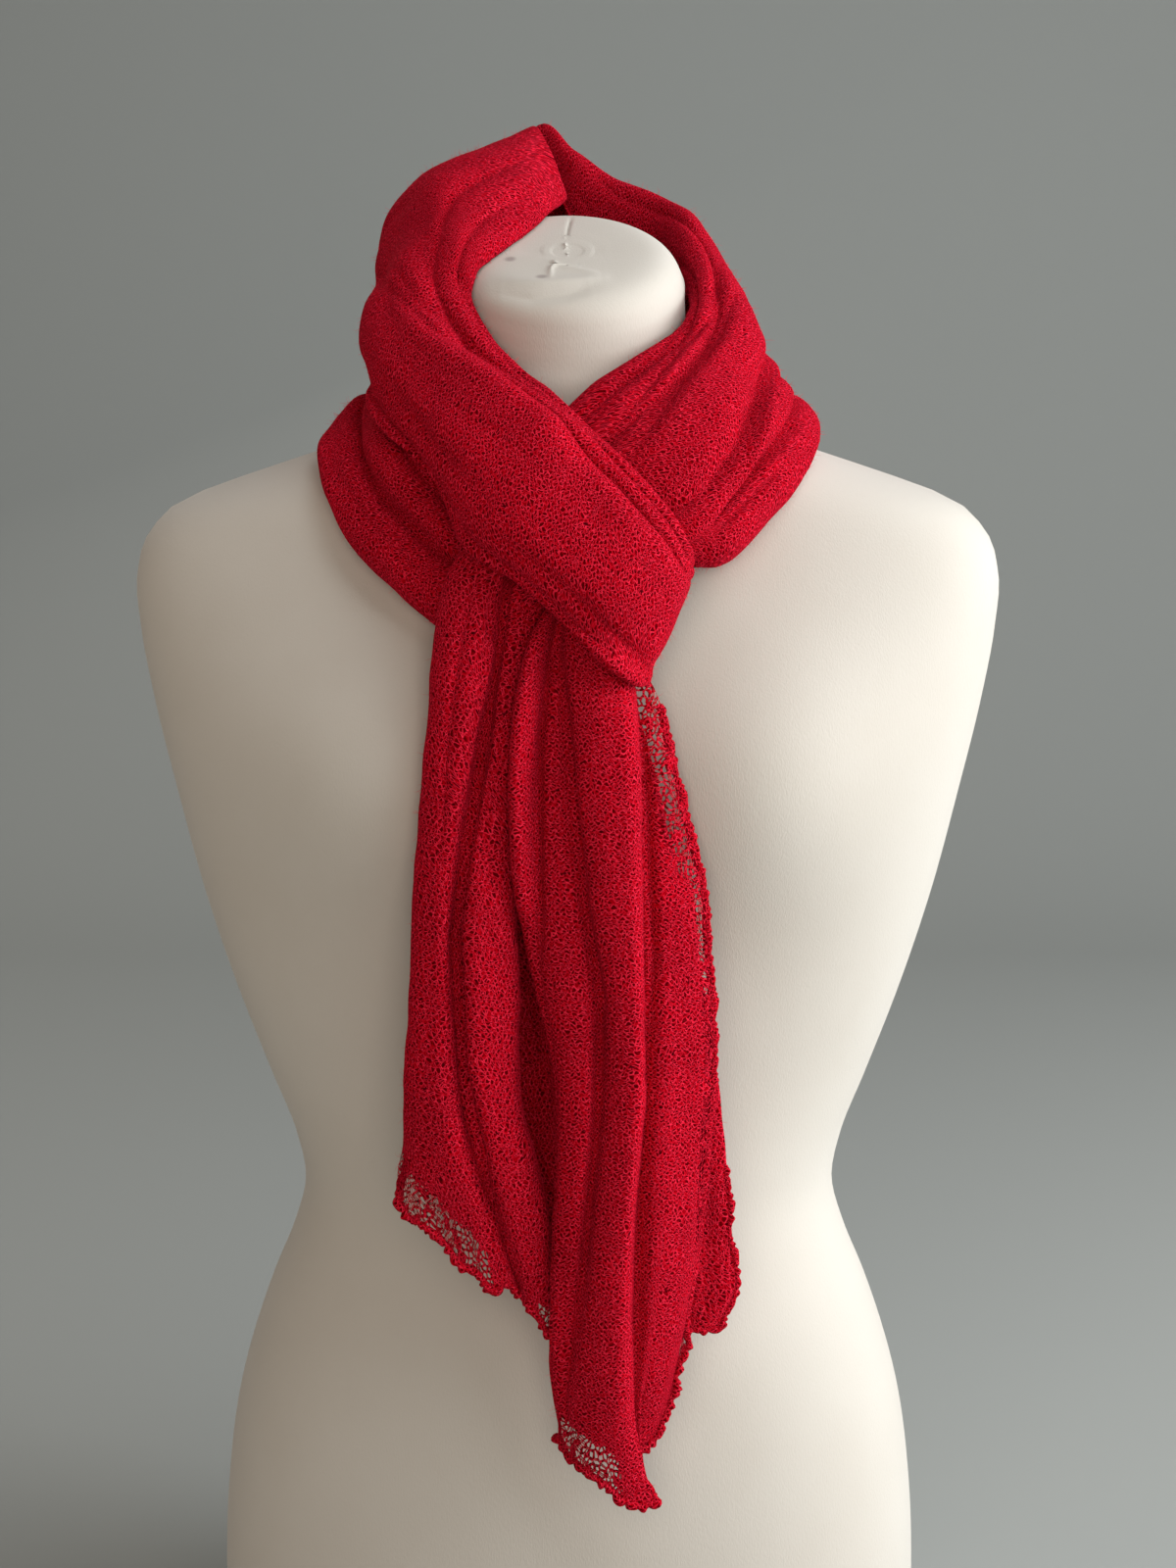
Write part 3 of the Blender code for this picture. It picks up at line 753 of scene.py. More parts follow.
# ---------------------------------------------------------------- materials
class Bench:
    """Places the nodes of one tree and links them, so that a formula reads in a line."""

    def __init__(self, tree: bpy.types.NodeTree) -> None:
        """Starts on a tree of nodes."""
        self.tree = tree

    def node(self, kind: str, **settings: object) -> bpy.types.Node:
        """A new node with its settings."""
        made = self.tree.nodes.new("ShaderNode" + kind)
        for key, value in settings.items():
            setattr(made, key, value)
        return made

    def feed(self, socket: Socket, value: object) -> None:
        """Links a socket to another one, or sets it."""
        if isinstance(value, Socket):
            self.tree.links.new(value, socket)
        else:
            socket.default_value = value

    def math(self, operation: str, *values: object, clamp: bool = False) -> Socket:
        """A Math node's result."""
        made = self.node("Math", operation=operation, use_clamp=clamp)
        for socket, value in zip(made.inputs, values):
            self.feed(socket, value)
        return made.outputs[0]

    def less(self, value: object) -> Socket:
        """One less a value."""
        return self.math("SUBTRACT", 1.0, value)

    def vector(self, operation: str, *values: object) -> Socket:
        """A Vector Math node's result."""
        made = self.node("VectorMath", operation=operation)
        sockets = [made.inputs[0], made.inputs[3 if operation == "SCALE" else 1]]
        for socket, value in zip(sockets, values):
            self.feed(socket, value)
        return made.outputs[1 if operation in ("LENGTH", "DISTANCE") else 0]

    def ramp(self, value: object, low: float, high: float) -> Socket:
        """A soft step from 0 at low to 1 at high."""
        made = self.node("MapRange", interpolation_type="SMOOTHSTEP")
        self.feed(made.inputs["Value"], value)
        self.feed(made.inputs["From Min"], low)
        self.feed(made.inputs["From Max"], high)
        return made.outputs[0]

    def noise(self, place: object, scale: float, detail: float, space: str = "2D") -> bpy.types.Node:
        """A Noise Texture node."""
        made = self.node("TexNoise", noise_dimensions=space)
        self.feed(made.inputs["Vector"], place)
        made.inputs["Scale"].default_value = scale
        made.inputs["Detail"].default_value = detail
        return made

    def cells(self, place: object, feature: str, scale: float, randomness: float) -> bpy.types.Node:
        """A Voronoi Texture node on a flat map."""
        made = self.node("TexVoronoi", voronoi_dimensions="2D", feature=feature)
        self.feed(made.inputs["Vector"], place)
        made.inputs["Scale"].default_value = scale
        made.inputs["Randomness"].default_value = randomness
        return made

    def bump(self, height: object, strength: float, distance: float) -> Socket:
        """A Bump node's normal."""
        made = self.node("Bump")
        made.inputs["Strength"].default_value = strength
        made.inputs["Distance"].default_value = distance
        self.feed(made.inputs["Height"], height)
        return made.outputs[0]

    def mix(self, factor: object, low: object, high: object) -> Socket:
        """One colour laid over another by a factor."""
        made = self.node("Mix", data_type="RGBA")
        self.feed(made.inputs[0], factor)
        self.feed(made.inputs[6], low)
        self.feed(made.inputs[7], high)
        return made.outputs[2]

    def parts(self, value: object) -> tuple[Socket, ...]:
        """The three numbers of a vector."""
        made = self.node("SeparateXYZ")
        self.feed(made.inputs[0], value)
        return tuple(made.outputs)

    def joined(self, *values: object) -> Socket:
        """A vector of up to three numbers."""
        made = self.node("CombineXYZ")
        for socket, value in zip(made.inputs, values):
            self.feed(socket, value)
        return made.outputs[0]


def new_group(
    name: str, inputs: dict[str, object], outputs: dict[str, str]
) -> tuple[bpy.types.NodeTree, bpy.types.Node, bpy.types.Node]:
    """A shader node group with its sockets.

    Args:
        name: The group's name.
        inputs: Each input's name and value, a tuple for a vector.
        outputs: Each output's name and kind of socket.

    Returns:
        The group, its input node and its output node.
    """
    group = bpy.data.node_groups.new(name, "ShaderNodeTree")
    for key, value in inputs.items():
        kind = "NodeSocketVector" if isinstance(value, tuple) else "NodeSocketFloat"
        socket = group.interface.new_socket(name=key, in_out="INPUT", socket_type=kind)
        socket.default_value = value
    for key, kind in outputs.items():
        group.interface.new_socket(name=key, in_out="OUTPUT", socket_type=kind)
    return group, group.nodes.new("NodeGroupInput"), group.nodes.new("NodeGroupOutput")


def new_material(name: str, values: dict[str, object]) -> tuple[Material, Bench, bpy.types.Node]:
    """A material with a bench for its nodes.

    Args:
        name: The material's name.
        values: The constants of its Principled BSDF, by socket.

    Returns:
        The material, the bench and the Principled BSDF.
    """
    material = bpy.data.materials.new(name)
    material.use_nodes = True
    shader = material.node_tree.nodes["Principled BSDF"]
    for key, value in values.items():
        shader.inputs[key].default_value = value
    return material, Bench(material.node_tree), shader


class KnitWork:
    """The masks of the knit's pattern: thin yarn, which KnitFinish paints with a highlight, over a
    deeper ground, with small gaps and eyelets that it paints as shade.

    The place that it is given is scaled to millimetres, so each scale is per millimetre.
    """

    DRIFTS = ((0.1, 3.2), (0.42, 0.8))  # scale of each unevenness of the rows, and its reach
    THREAD = (0.04, 0.42)  # a row's bright middle and its edge, in shares of half a row
    TIE = (0.02, 0.17)  # the same for the loops' sides, in shares of a cell
    HOLE = (0.08, 0.2)  # where a hole begins, and where it is open, in shares of a cell
    EYELET = (0.06, 0.15)  # an eyelet's dark middle and its edge, in shares of a cell

    def __init__(self) -> None:
        """Builds the node group once."""
        inputs = {
            "Place": (0.0, 0.0, 0.0),
            "Course": 2.3,
            "Wale": 3.2,
            "Swing": 0.3,
            "Ladder": 0.0,
            "Eyelets": 0.3,
        }
        kinds = dict.fromkeys(("Yarn", "Gap", "Height", "Eyelet", "Hole"), "NodeSocketFloat")
        self.group, given, made = new_group("knit_work", inputs, kinds)
        bench = Bench(self.group)
        place = bench.vector("SCALE", given.outputs["Place"], TO_MM)
        for scale, reach in self.DRIFTS:
            drift = bench.noise(place, scale, 0.0).outputs["Color"]
            drift = bench.vector("SUBTRACT", drift, (0.5, 0.5, 0.5))
            place = bench.vector("ADD", place, bench.vector("SCALE", drift, reach))
        x, y, _ = bench.parts(place)
        u = bench.math("DIVIDE", x, given.outputs["Wale"])
        v = bench.math("DIVIDE", y, given.outputs["Course"])
        arc = self._rows(bench, given, u, v)
        net = self._net(bench, u, v)
        broken = bench.ramp(bench.noise(place, 0.6, 1.0).outputs["Fac"], 0.3, 0.65)
        thread = bench.math("MAXIMUM", arc, bench.math("MULTIPLY", net, 0.7))
        yarn = bench.math("MULTIPLY", thread, bench.math("MULTIPLY_ADD", broken, 0.8, 0.2))
        hollow = bench.less(bench.math("MAXIMUM", arc, net))
        # The gaps between the loops: a mask that paints them darker as the shade that falls in them,
        # and lowers them in the bump.
        gap_shade = bench.math("MULTIPLY", bench.ramp(hollow, 0.2, 0.85), bench.ramp(broken, -0.6, 0.9))
        eyelet = self._eyelets(bench, given, place)
        bench.feed(made.inputs["Yarn"], yarn)
        bench.feed(made.inputs["Gap"], gap_shade)
        bench.feed(made.inputs["Eyelet"], eyelet)
        bench.feed(made.inputs["Hole"], self._holes(bench, place))
        raised = bench.math("SUBTRACT", thread, gap_shade)
        bench.feed(made.inputs["Height"], bench.math("SUBTRACT", raised, eyelet))

    @staticmethod
    def _rows(bench: Bench, given: bpy.types.Node, u: object, v: object) -> Socket:
        """The thin wavy rows of loops."""
        angle = bench.math("MULTIPLY", u, 2 * math.pi)
        wave = bench.math("MULTIPLY", bench.math("SINE", angle), given.outputs["Swing"])
        level = bench.less(given.outputs["Ladder"])
        v = bench.math("ADD", v, bench.math("MULTIPLY", wave, level))
        row = bench.math("FLOOR", v)
        turned = bench.math("ADD", angle, bench.math("MULTIPLY", row, math.pi))
        turned = bench.math("MULTIPLY", bench.math("SINE", turned), given.outputs["Swing"])
        off = bench.math("SUBTRACT", bench.math("FRACT", v), 0.5)
        off = bench.math("ADD", off, bench.math("MULTIPLY", turned, given.outputs["Ladder"]))
        off = bench.math("MULTIPLY", bench.math("ABSOLUTE", off), 2.0)
        return bench.less(bench.ramp(off, *KnitWork.THREAD))

    @staticmethod
    def _net(bench: Bench, u: object, v: object) -> Socket:
        """The loops' own sides, which tie one row to the next."""
        cells = bench.cells(bench.joined(u, v, 0.0), "DISTANCE_TO_EDGE", 1.4, 0.8)
        return bench.less(bench.ramp(cells.outputs["Distance"], *KnitWork.TIE))

    @staticmethod
    def _holes(bench: Bench, place: object) -> Socket:
        """The holes of open work, about two millimetres apart, with twisted yarn between."""
        long_place = bench.vector("MULTIPLY", place, (1.0, 0.8, 1.0))
        cells = bench.cells(long_place, "DISTANCE_TO_EDGE", 0.42, 0.9)
        kept = bench.ramp(bench.noise(place, 0.22, 0.0).outputs["Fac"], 0.28, 0.42)
        hole = bench.ramp(cells.outputs["Distance"], *KnitWork.HOLE)
        return bench.math("MULTIPLY", hole, kept)

    @staticmethod
    def _eyelets(bench: Bench, given: bpy.types.Node, place: object) -> Socket:
        """Small eyelets in loose rows, as a mask that KnitFinish paints near black as shade."""
        cells = bench.cells(place, "F1", 0.17, 0.55)
        dot = bench.less(bench.ramp(cells.outputs["Distance"], *KnitWork.EYELET))
        chance = bench.parts(cells.outputs["Color"])[0]
        there = bench.math("LESS_THAN", chance, given.outputs["Eyelets"])
        return bench.math("MULTIPLY", dot, there)


@dataclass(frozen=True)
class KnitFinish:
    """A finish of the red knit.

    Args:
        name: The material's name.
        stitch: How its rows of loops lie.
        course: Height of a row in millimetres.
        wale: Width of a loop in millimetres.
        swing: How far a row waves, as a share of its height.
        eyelets: The share of places that have an eyelet.
        light: Colour of the yarn, brighter and pinker than the ground: the yarn's own colour with a
            painted highlight where it stands up into the light.
        ground: Colour of the cloth between.
        gap_shade: Painted shade: the dark colour given to the small gaps between the loops, where
            shade falls in the knit.
        eyelet: Painted shade: the near black given to the eyelets, where the shade behind the cloth
            shows through them.
    """

    name: str
    stitch: Stitch = Stitch.WAVY
    course: float = 2.25
    wale: float = 3.0
    swing: float = 0.34
    eyelets: float = 0.05
    light: Colour = (0.84, 0.022, 0.06)
    ground: Colour = (0.5, 0.0001, 0.007)
    gap_shade: Colour = (0.1, 0.0, 0.001)
    eyelet: Colour = (0.035, 0.0, 0.0005)

    def make(self, work: KnitWork) -> Material:
        """The material, with the pattern group in it.

        Args:
            work: The shared pattern of the knit.

        Returns:
            The material.
        """
        values = {
            "Roughness": 0.95,
            "Sheen Weight": 0.2,
            "Sheen Roughness": 0.45,
            "Sheen Tint": (1.0, 0.03, 0.1, 1),
            "Specular IOR Level": 0.01,
        }
        material, bench, shader = new_material(self.name, values)
        cloth_map = bench.node("UVMap", uv_map="cloth")
        pattern = bench.node("Group")
        pattern.node_tree = work.group
        bench.feed(pattern.inputs["Place"], cloth_map.outputs["UV"])
        for key, value in {
            "Course": self.course,
            "Wale": self.wale,
            "Swing": self.swing,
            "Ladder": self.stitch.value,
            "Eyelets": self.eyelets,
        }.items():
            pattern.inputs[key].default_value = value
        patch = bench.noise(bench.vector("SCALE", cloth_map.outputs["UV"], TO_MM), 0.03, 2.0)
        patch = bench.ramp(patch.outputs["Fac"], 0.3, 0.7)
        deeper = tuple(0.75 * part for part in self.ground)
        ground = bench.mix(patch, (*self.ground, 1), (*deeper, 1))
        # Painted shade in the gaps between the loops.
        colour = bench.mix(pattern.outputs["Gap"], ground, (*self.gap_shade, 1))
        # The yarn, partly its own colour and partly a painted highlight.
        colour = bench.mix(pattern.outputs["Yarn"], colour, (*self.light, 1))
        # Painted shade in the eyelets.
        dark = bench.math("MULTIPLY", pattern.outputs["Eyelet"], 0.9)
        colour = bench.mix(dark, colour, (*self.eyelet, 1))
        bench.feed(shader.inputs["Base Color"], colour)
        bench.feed(shader.inputs["Normal"], bench.bump(pattern.outputs["Height"], 0.6, 0.0005))
        lace = bench.node("Attribute", attribute_name="lace")
        see_through = bench.math("MULTIPLY", pattern.outputs["Hole"], lace.outputs["Fac"])
        alpha = bench.math("SUBTRACT", 1.0, bench.ramp(see_through, 0.22, 0.45), clamp=True)
        bench.feed(shader.inputs["Alpha"], alpha)
        return material


FINISHES = (
    KnitFinish("alpaca_knit"),
    KnitFinish("alpaca_ladder_knit", stitch=Stitch.LADDER, course=2.6, wale=2.7, eyelets=0.35),
)


@dataclass(frozen=True)
class HairFinish:
    """The finish of the halo's fine hairs.

    Args:
        name: The material's name.
        colour: Their colour, lighter than the cloth as light comes through them.
    """

    name: str = "alpaca_hair"
    colour: Colour = (0.95, 0.03, 0.075)

    def make(self) -> Material:
        """The material, with hairs that differ a little in tone."""
        values = {"Roughness": 0.8, "Specular IOR Level": 0.05}
        material, bench, shader = new_material(self.name, values)
        tone = bench.noise(bench.node("TexCoord").outputs["Object"], 400.0, 1.0, "3D")
        deeper = tuple(0.6 * part for part in self.colour)
        colour = bench.mix(tone.outputs["Fac"], (*deeper, 1), (*self.colour, 1))
        bench.feed(shader.inputs["Base Color"], colour)
        return material


@dataclass(frozen=True)
class JerseyFinish:
    """The form's tight cream jersey cover.

    Args:
        name: The material's name.
        light: Its colour.
        worn: Its colour where it is a little soiled.
        smudge: Colour of its two small smudges.
        smudges: The place of each and how far it reaches, in metres.
    """

    name: str = "form_jersey"
    light: Colour = (0.58, 0.56, 0.512)
    worn: Colour = (0.54, 0.513, 0.46)
    smudge: Colour = (0.26, 0.22, 0.21)
    smudges: Table = (
        (-0.025, -0.023, 0.673, 0.0034),
        (-0.011, -0.040, 0.665, 0.0036),
    )

    def make(self) -> Material:
        """The material: fine ribs and a faint unevenness of colour."""
        values = {"Roughness": 0.85, "Sheen Weight": 0.15, "Specular IOR Level": 0.3}
        material, bench, shader = new_material(self.name, values)
        place = bench.node("TexCoord").outputs["Object"]
        cloud = bench.noise(place, 14.0, 4.0, "3D")
        mottle = bench.ramp(cloud.outputs["Fac"], 0.35, 0.75)
        fine = bench.noise(bench.vector("MULTIPLY", place, (1.0, 1.0, 0.35)), 1500.0, 1.0, "3D")
        soiled = bench.math("MULTIPLY", mottle, 0.5)
        colour = bench.mix(soiled, (*self.light, 1), (*self.worn, 1))
        for *spot, reach in self.smudges:
            away = bench.vector("DISTANCE", place, tuple(spot))
            faint = bench.less(bench.ramp(away, 0.3 * reach, reach))
            colour = bench.mix(bench.math("MULTIPLY", faint, 0.7), colour, (*self.smudge, 1))
        bench.feed(shader.inputs["Base Color"], colour)
        bench.feed(shader.inputs["Normal"], bench.bump(fine.outputs["Fac"], 0.25, 0.0004))
        return material


# ---------------------------------------------------------------- the dress form
@dataclass
class DressForm:
    """The limbless form under its jersey cover.

    Args:
        points: Points round each section.
        rings: Sections below the neck.
        neck_rings: Sections of the neck.
        cap_rings: Sections of its cap.
        bust_side: How far each breast lies from the middle.
        bust_height: How high they lie.
        bust_rise: How far they stand out.
        bust_spread: How far they reach sideways and up.
    """

    points: int = 260
    rings: int = 96
    neck_rings: int = 30
    cap_rings: int = 64
    bust_side: float = 0.082
    bust_height: float = 0.455
    bust_rise: float = 0.024
    bust_spread: tuple[float, float] = (0.062, 0.060)
    # Height, half width, reach to the front and to the back in millimetres, and squareness.
    sections: Table = (
        (0, 163, 104, 104, 2.3),
        (52, 164, 106, 108, 2.3),
        (102, 162, 106, 110, 2.3),
        (152, 155, 103, 106, 2.3),
        (201, 140, 97, 95, 2.3),
        (228, 129, 92, 87, 2.3),
        (252, 123, 89, 82, 2.3),
        (276, 127, 89, 82, 2.3),
        (305, 138, 90, 85, 2.3),
        (344, 152, 93, 92, 2.4),
        (390, 166, 95, 98, 2.5),
        (436, 177, 96, 102, 2.6),
        (482, 187, 92, 103, 2.8),
        (512, 192, 85, 101, 2.9),
        (536, 193, 77, 96, 3.0),
        (554, 187, 70, 89, 3.0),
        (567, 173, 66, 83, 2.9),
        (578, 144, 63, 78, 2.7),
        (590, 108, 61, 72, 2.4),
        (602, 78, 60, 66, 2.1),
    )
    # Middle's place, half width, half depth in millimetres, and lean in degrees.
    neck: Table = (
        (2, 606, 72, 62.5, 1),
        (0, 615, 62, 60, 4),
        (-2, 627, 56, 58, 8),
        (-4, 640, 53, 56, 14),
        (-7, 652, 52, 54.5, 20),
        (-8.8, 662, 51.8, 54.6, 25),
    )
    # Share of the neck's last radii, and height above it in millimetres.
    cap: Table = (
        (1.0, 0), (0.975, 3.2), (0.95, 6.2), (0.917, 8.9), (0.874, 11.2), (0.82, 13.1),
        (0.752, 14.5), (0.665, 15.4), (0.55, 15.9), (0.40, 16.2), (0.27, 16.4), (0.15, 16.4),
        (0.04, 16.4),
    )
    # Puckers and the seam of the cover: each one's line, its depth and its width.
    puckers: tuple[Crease, ...] = (
        Crease(((583, 221), (580, 232), (578, 241)), 0.9, 0.6),
        Crease(((576, 243), (577, 252), (579, 260)), -0.8, 0.7),
        Crease(((524, 256), (550, 258), (590, 259), (622, 256)), 0.6, 3.4),
        Crease(((520, 263), (560, 263), (590, 263), (612, 263)), -0.4, 2.6),
        Crease(((563, 262), (567, 270), (562, 274), (562, 283)), -1.0, 0.9),
        Crease(((566, 271), (585, 274), (610, 279)), -0.7, 0.9),
        Crease(((514, 287), (553, 289), (587, 287), (616, 283)), -1.5, 2.2),
        Crease(((508, 299), (543, 304), (577, 300), (604, 293)), 1.3, 3.2),
    )

    def _ring(self, half_width: float, front: float, back: float, square: float) -> Grid:
        """Points at even steps round a squared ellipse."""
        turn = np.linspace(0, 2 * math.pi, 8 * PROFILE_STEPS + 1)
        x = half_width * power(np.cos(turn), 2 / square)
        y = power(np.sin(turn), 2 / square)
        ring = np.stack([x, y * np.where(y > 0, back, front)], 1)
        length = lengths_along(ring)
        at = np.linspace(0, length[-1], self.points, endpoint=False)
        return read_at(at, length, ring)

    def _bust(self, x: float, z: float) -> float:
        """How far the front is filled out at a place."""
        up = (z - self.bust_height) / self.bust_spread[1]
        return sum(
            self.bust_rise * math.exp(-(((x - side) / self.bust_spread[0]) ** 2) - up**2)
            for side in (-self.bust_side, self.bust_side)
        )

    def _body_ring(self, row: Grid) -> Grid:
        """Points round one section below the neck."""
        height, half_width, front, back = row[:4] * MM
        ring = []
        for x, y in self._ring(half_width, front, back, row[4]):
            if y < 0:
                y -= self._bust(x, height) * min(1, -y / (0.5 * front))
            ring.append((x, y, height))
        return np.array(ring)

    def _neck_ring(self, row: Grid, scale: float = 1.0, lift: float = 0.0) -> Grid:
        """Points round one section of the leaning neck, or round its cap that far above it."""
        y_middle, z_middle, half_width, half_depth = row[:4] * MM
        lean = math.radians(row[4])
        half_depth *= scale
        ring = self._ring(half_width * scale, half_depth, half_depth, 2)
        x, y = ring.T
        back = y_middle + y * math.cos(lean) - lift * math.sin(lean)
        height = z_middle + y * math.sin(lean) + lift * math.cos(lean)
        return np.stack([x, back, height], 1)

    def _pressed(self, rings: Grid) -> Grid:
        """The rings with the cover's puckers in them."""
        down, side = np.gradient(rings, axis=0), np.gradient(rings, axis=1)
        normals = unit(np.cross(side, down))
        centre = rings.mean(axis=1, keepdims=True)
        normals *= np.sign(((rings - centre) * normals).sum(-1, keepdims=True) + 1e-9)
        press = sum(pucker.pressed(rings, normals) for pucker in self.puckers)
        return rings - press[..., None] * normals

    def build(self, material: Material) -> Piece:
        """The form: sections bridged from the flat underside to the neck's cap.

        Args:
            material: The jersey.

        Returns:
            The finished object.
        """
        rings = [self._body_ring(row) for row in rows_by_height(self.sections, self.rings)]
        neck = cubic_rows(self.neck, self.neck_rings)
        rings += [self._neck_ring(row) for row in neck]
        cap = cubic_rows(self.cap, self.cap_rings)[1:]
        rings += [self._neck_ring(neck[-1], scale, lift * MM) for scale, lift in cap]
        rings = self._pressed(np.array(rings))
        shape = bmesh.new()
        previous = None
        for ring in rings:
            verts = [shape.verts.new(point) for point in ring]
            edges = [shape.edges.new((a, b)) for a, b in zip(verts, verts[1:] + verts[:1])]
            if previous:
                bmesh.ops.bridge_loops(shape, edges=previous + edges)
            else:
                bmesh.ops.contextual_create(shape, geom=edges)
            previous = edges
        bmesh.ops.contextual_create(shape, geom=previous)
        bmesh.ops.recalc_face_normals(shape, faces=shape.faces)
        mesh = new_mesh("form_cover", shape)
        mesh.set_sharp_from_angle(angle=math.radians(50))
        mesh.materials.append(material)
        piece = new_piece("form_cover", mesh)
        bpy.context.view_layer.update()
        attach(piece, BODY)
        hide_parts("dress_form")
        return piece


# ---------------------------------------------------------------- the shawl
# The columns of each stretch's table, in millimetres: x, y, z of its inner edge, x, y, z of
# its crest and x, y, z of its outer edge. Each row is a section.
LOOP_OVER = (
    (-2, 46, 704, -20, 86, 733, -14, 93, 692),
    (-12, 10, 691, -35, 76, 722, -36, 90, 672),
    (-25, -14, 680, -60, 59, 710, -62, 72, 655),
    (-34, -26, 673, -76, 38, 695, -76, 48, 640),
    (-42, -35, 666, -72, 4, 673, -77, 11, 629),
    (-44, -42, 654, -75, -29, 652, -77, -35, 615),
    (-36, -52, 640, -61, -65, 633, -68, -69, 597),
    (-21, -69, 624, -42, -99, 607, -50, -93, 580),
    (-7, -86, 613, -20, -119, 586, -40, -108, 558),
    (8, -97, 599, -4, -127, 569, -19, -117, 546),
    (26, -110, 583, 14, -131, 553, -1, -122, 531),
    (41, -112, 567, 28, -129, 538, 14, -122, 514),
    (48, -107, 554, 39, -122, 524, 25, -115, 505),
    (51, -96, 547, 42, -112, 521, 29, -106, 504),
)
LOWER_TURN = (
    (40, -84, 534, 34, -90, 519, 26, -95, 505),
    (6, -80, 553, 2, -90, 528, -2, -96, 506),
    (-34, -80, 572, -40, -92, 543, -42, -95, 521),
    (-50, -76, 590, -56, -91, 559, -58, -88, 529),
    (-59, -67, 601, -71, -84, 575, -73, -82, 541),
    (-63, -50, 610, -80, -67, 589, -89, -72, 556),
    (-64, -28, 616, -84, -43, 600, -100, -54, 578),
    (-65, -12, 620, -83, -23, 607, -103, -33, 592),
    (-64, 6, 623, -82, 4, 614, -91, -8, 603),
    (-58, 38, 630, -77, 46, 616, -85, 44, 595),
    (-38, 60, 640, -52, 77, 622, -60, 75, 585),
    (0, 70, 646, 0, 91, 625, 0, 87, 574),
    (38, 60, 642, 52, 78, 623, 60, 75, 585),
    (56, 36, 632, 78, 46, 618, 86, 45, 596),
    (62, 4, 624, 90, 2, 612, 96, -2, 601),
    (70, -21, 624, 95, -28, 609, 98, -40, 592),
    (71, -44, 618, 84, -57, 600, 87, -64, 571),
    (60, -68, 604, 69, -80, 581, 72, -76, 556),
    (49, -78, 589, 57, -88, 570, 62, -80, 551),
    (38, -80, 582, 46, -90, 566, 51, -82, 551),
)
UPPER_TURN = (
    (-44, 99, 683, -49, 106, 664, -48, 103, 638),
    (-28, 108, 708, -32, 118, 691, -30, 112, 634),
    (-12, 104, 720, -13, 117, 712, -12, 114, 632),
    (2, 88, 692, 2, 109, 713, 2, 112, 631),
    (20, 76, 670, 20, 99, 706, 20, 107, 631),
    (36, 62, 664, 42, 84, 696, 42, 95, 631),
    (48, 40, 662, 59, 58, 686, 62, 74, 630),
    (55, 12, 660, 66, 32, 669, 71, 42, 632),
    (57, -14, 652, 74, -4, 655, 77, 0, 630),
    (52, -34, 643, 76, -33, 639, 80, -34, 618),
    (41, -48, 634, 66, -72, 616, 75, -74, 592),
    (28, -61, 626, 54, -90, 601, 62, -89, 572),
    (12, -72, 617, 41, -98, 587, 49, -96, 560),
    (0, -78, 605, 28, -100, 576, 39, -98, 556),
)
TAIL_LEFT = (
    (-34, -101, 555, -22, -105, 547, -10, -102, 539),
    (-43, -103, 540, -30, -110, 532, -16, -106, 525),
    (-48, -111, 510, -35, -118, 503, -19, -113, 496),
    (-52, -119, 470, -38, -126, 464, -23, -119, 458),
    (-56, -122, 428, -42, -129, 424, -27, -121, 420),
    (-59, -123, 385, -44, -130, 380, -28, -121, 375),
    (-61, -122, 335, -44, -129, 330, -27, -120, 325),
    (-66, -121, 300, -40, -128, 287, -13, -121, 275),
    (-77, -121, 276, -38, -127, 246, -5, -121, 212),
)
TAIL_REAR = (
    (-2, -108, 506, 13, -110, 500, 27, -108, 494),
    (-8, -110, 465, 15, -112, 461, 38, -110, 457),
    (-16, -104, 420, 16, -113, 418, 47, -111, 416),
    (-26, -102, 360, 16, -113, 358, 60, -111, 356),
    (-28, -101, 310, 20, -112, 308, 67, -110, 306),
    (-20, -102, 265, 24, -112, 265, 71, -110, 261),
    (0, -106, 240, 36, -112, 236, 73, -110, 238),
    (22, -110, 224, 42, -112, 219, 66, -110, 216),
)
TAIL_RIGHT = (
    (-4, -109, 532, 10, -113, 524, 26, -110, 514),
    (-12, -112, 512, 12, -118, 502, 38, -113, 490),
    (-17, -118, 486, 13, -125, 481, 43, -118, 472),
    (-20, -123, 450, 15, -131, 450, 50, -120, 446),
    (-18, -126, 412, 19, -134, 412, 57, -121, 408),
    (-9, -127, 372, 23, -136, 372, 60, -121, 370),
    (-2, -128, 330, 27, -136, 330, 62, -121, 328),
    (-2, -128, 290, 27, -136, 290, 59, -121, 288),
    (-5, -128, 245, 27, -135, 246, 56, -121, 244),
    (-5, -127, 205, 25, -133, 206, 48, -121, 204),
    (-2, -126, 166, 20, -131, 170, 38, -121, 172),
)


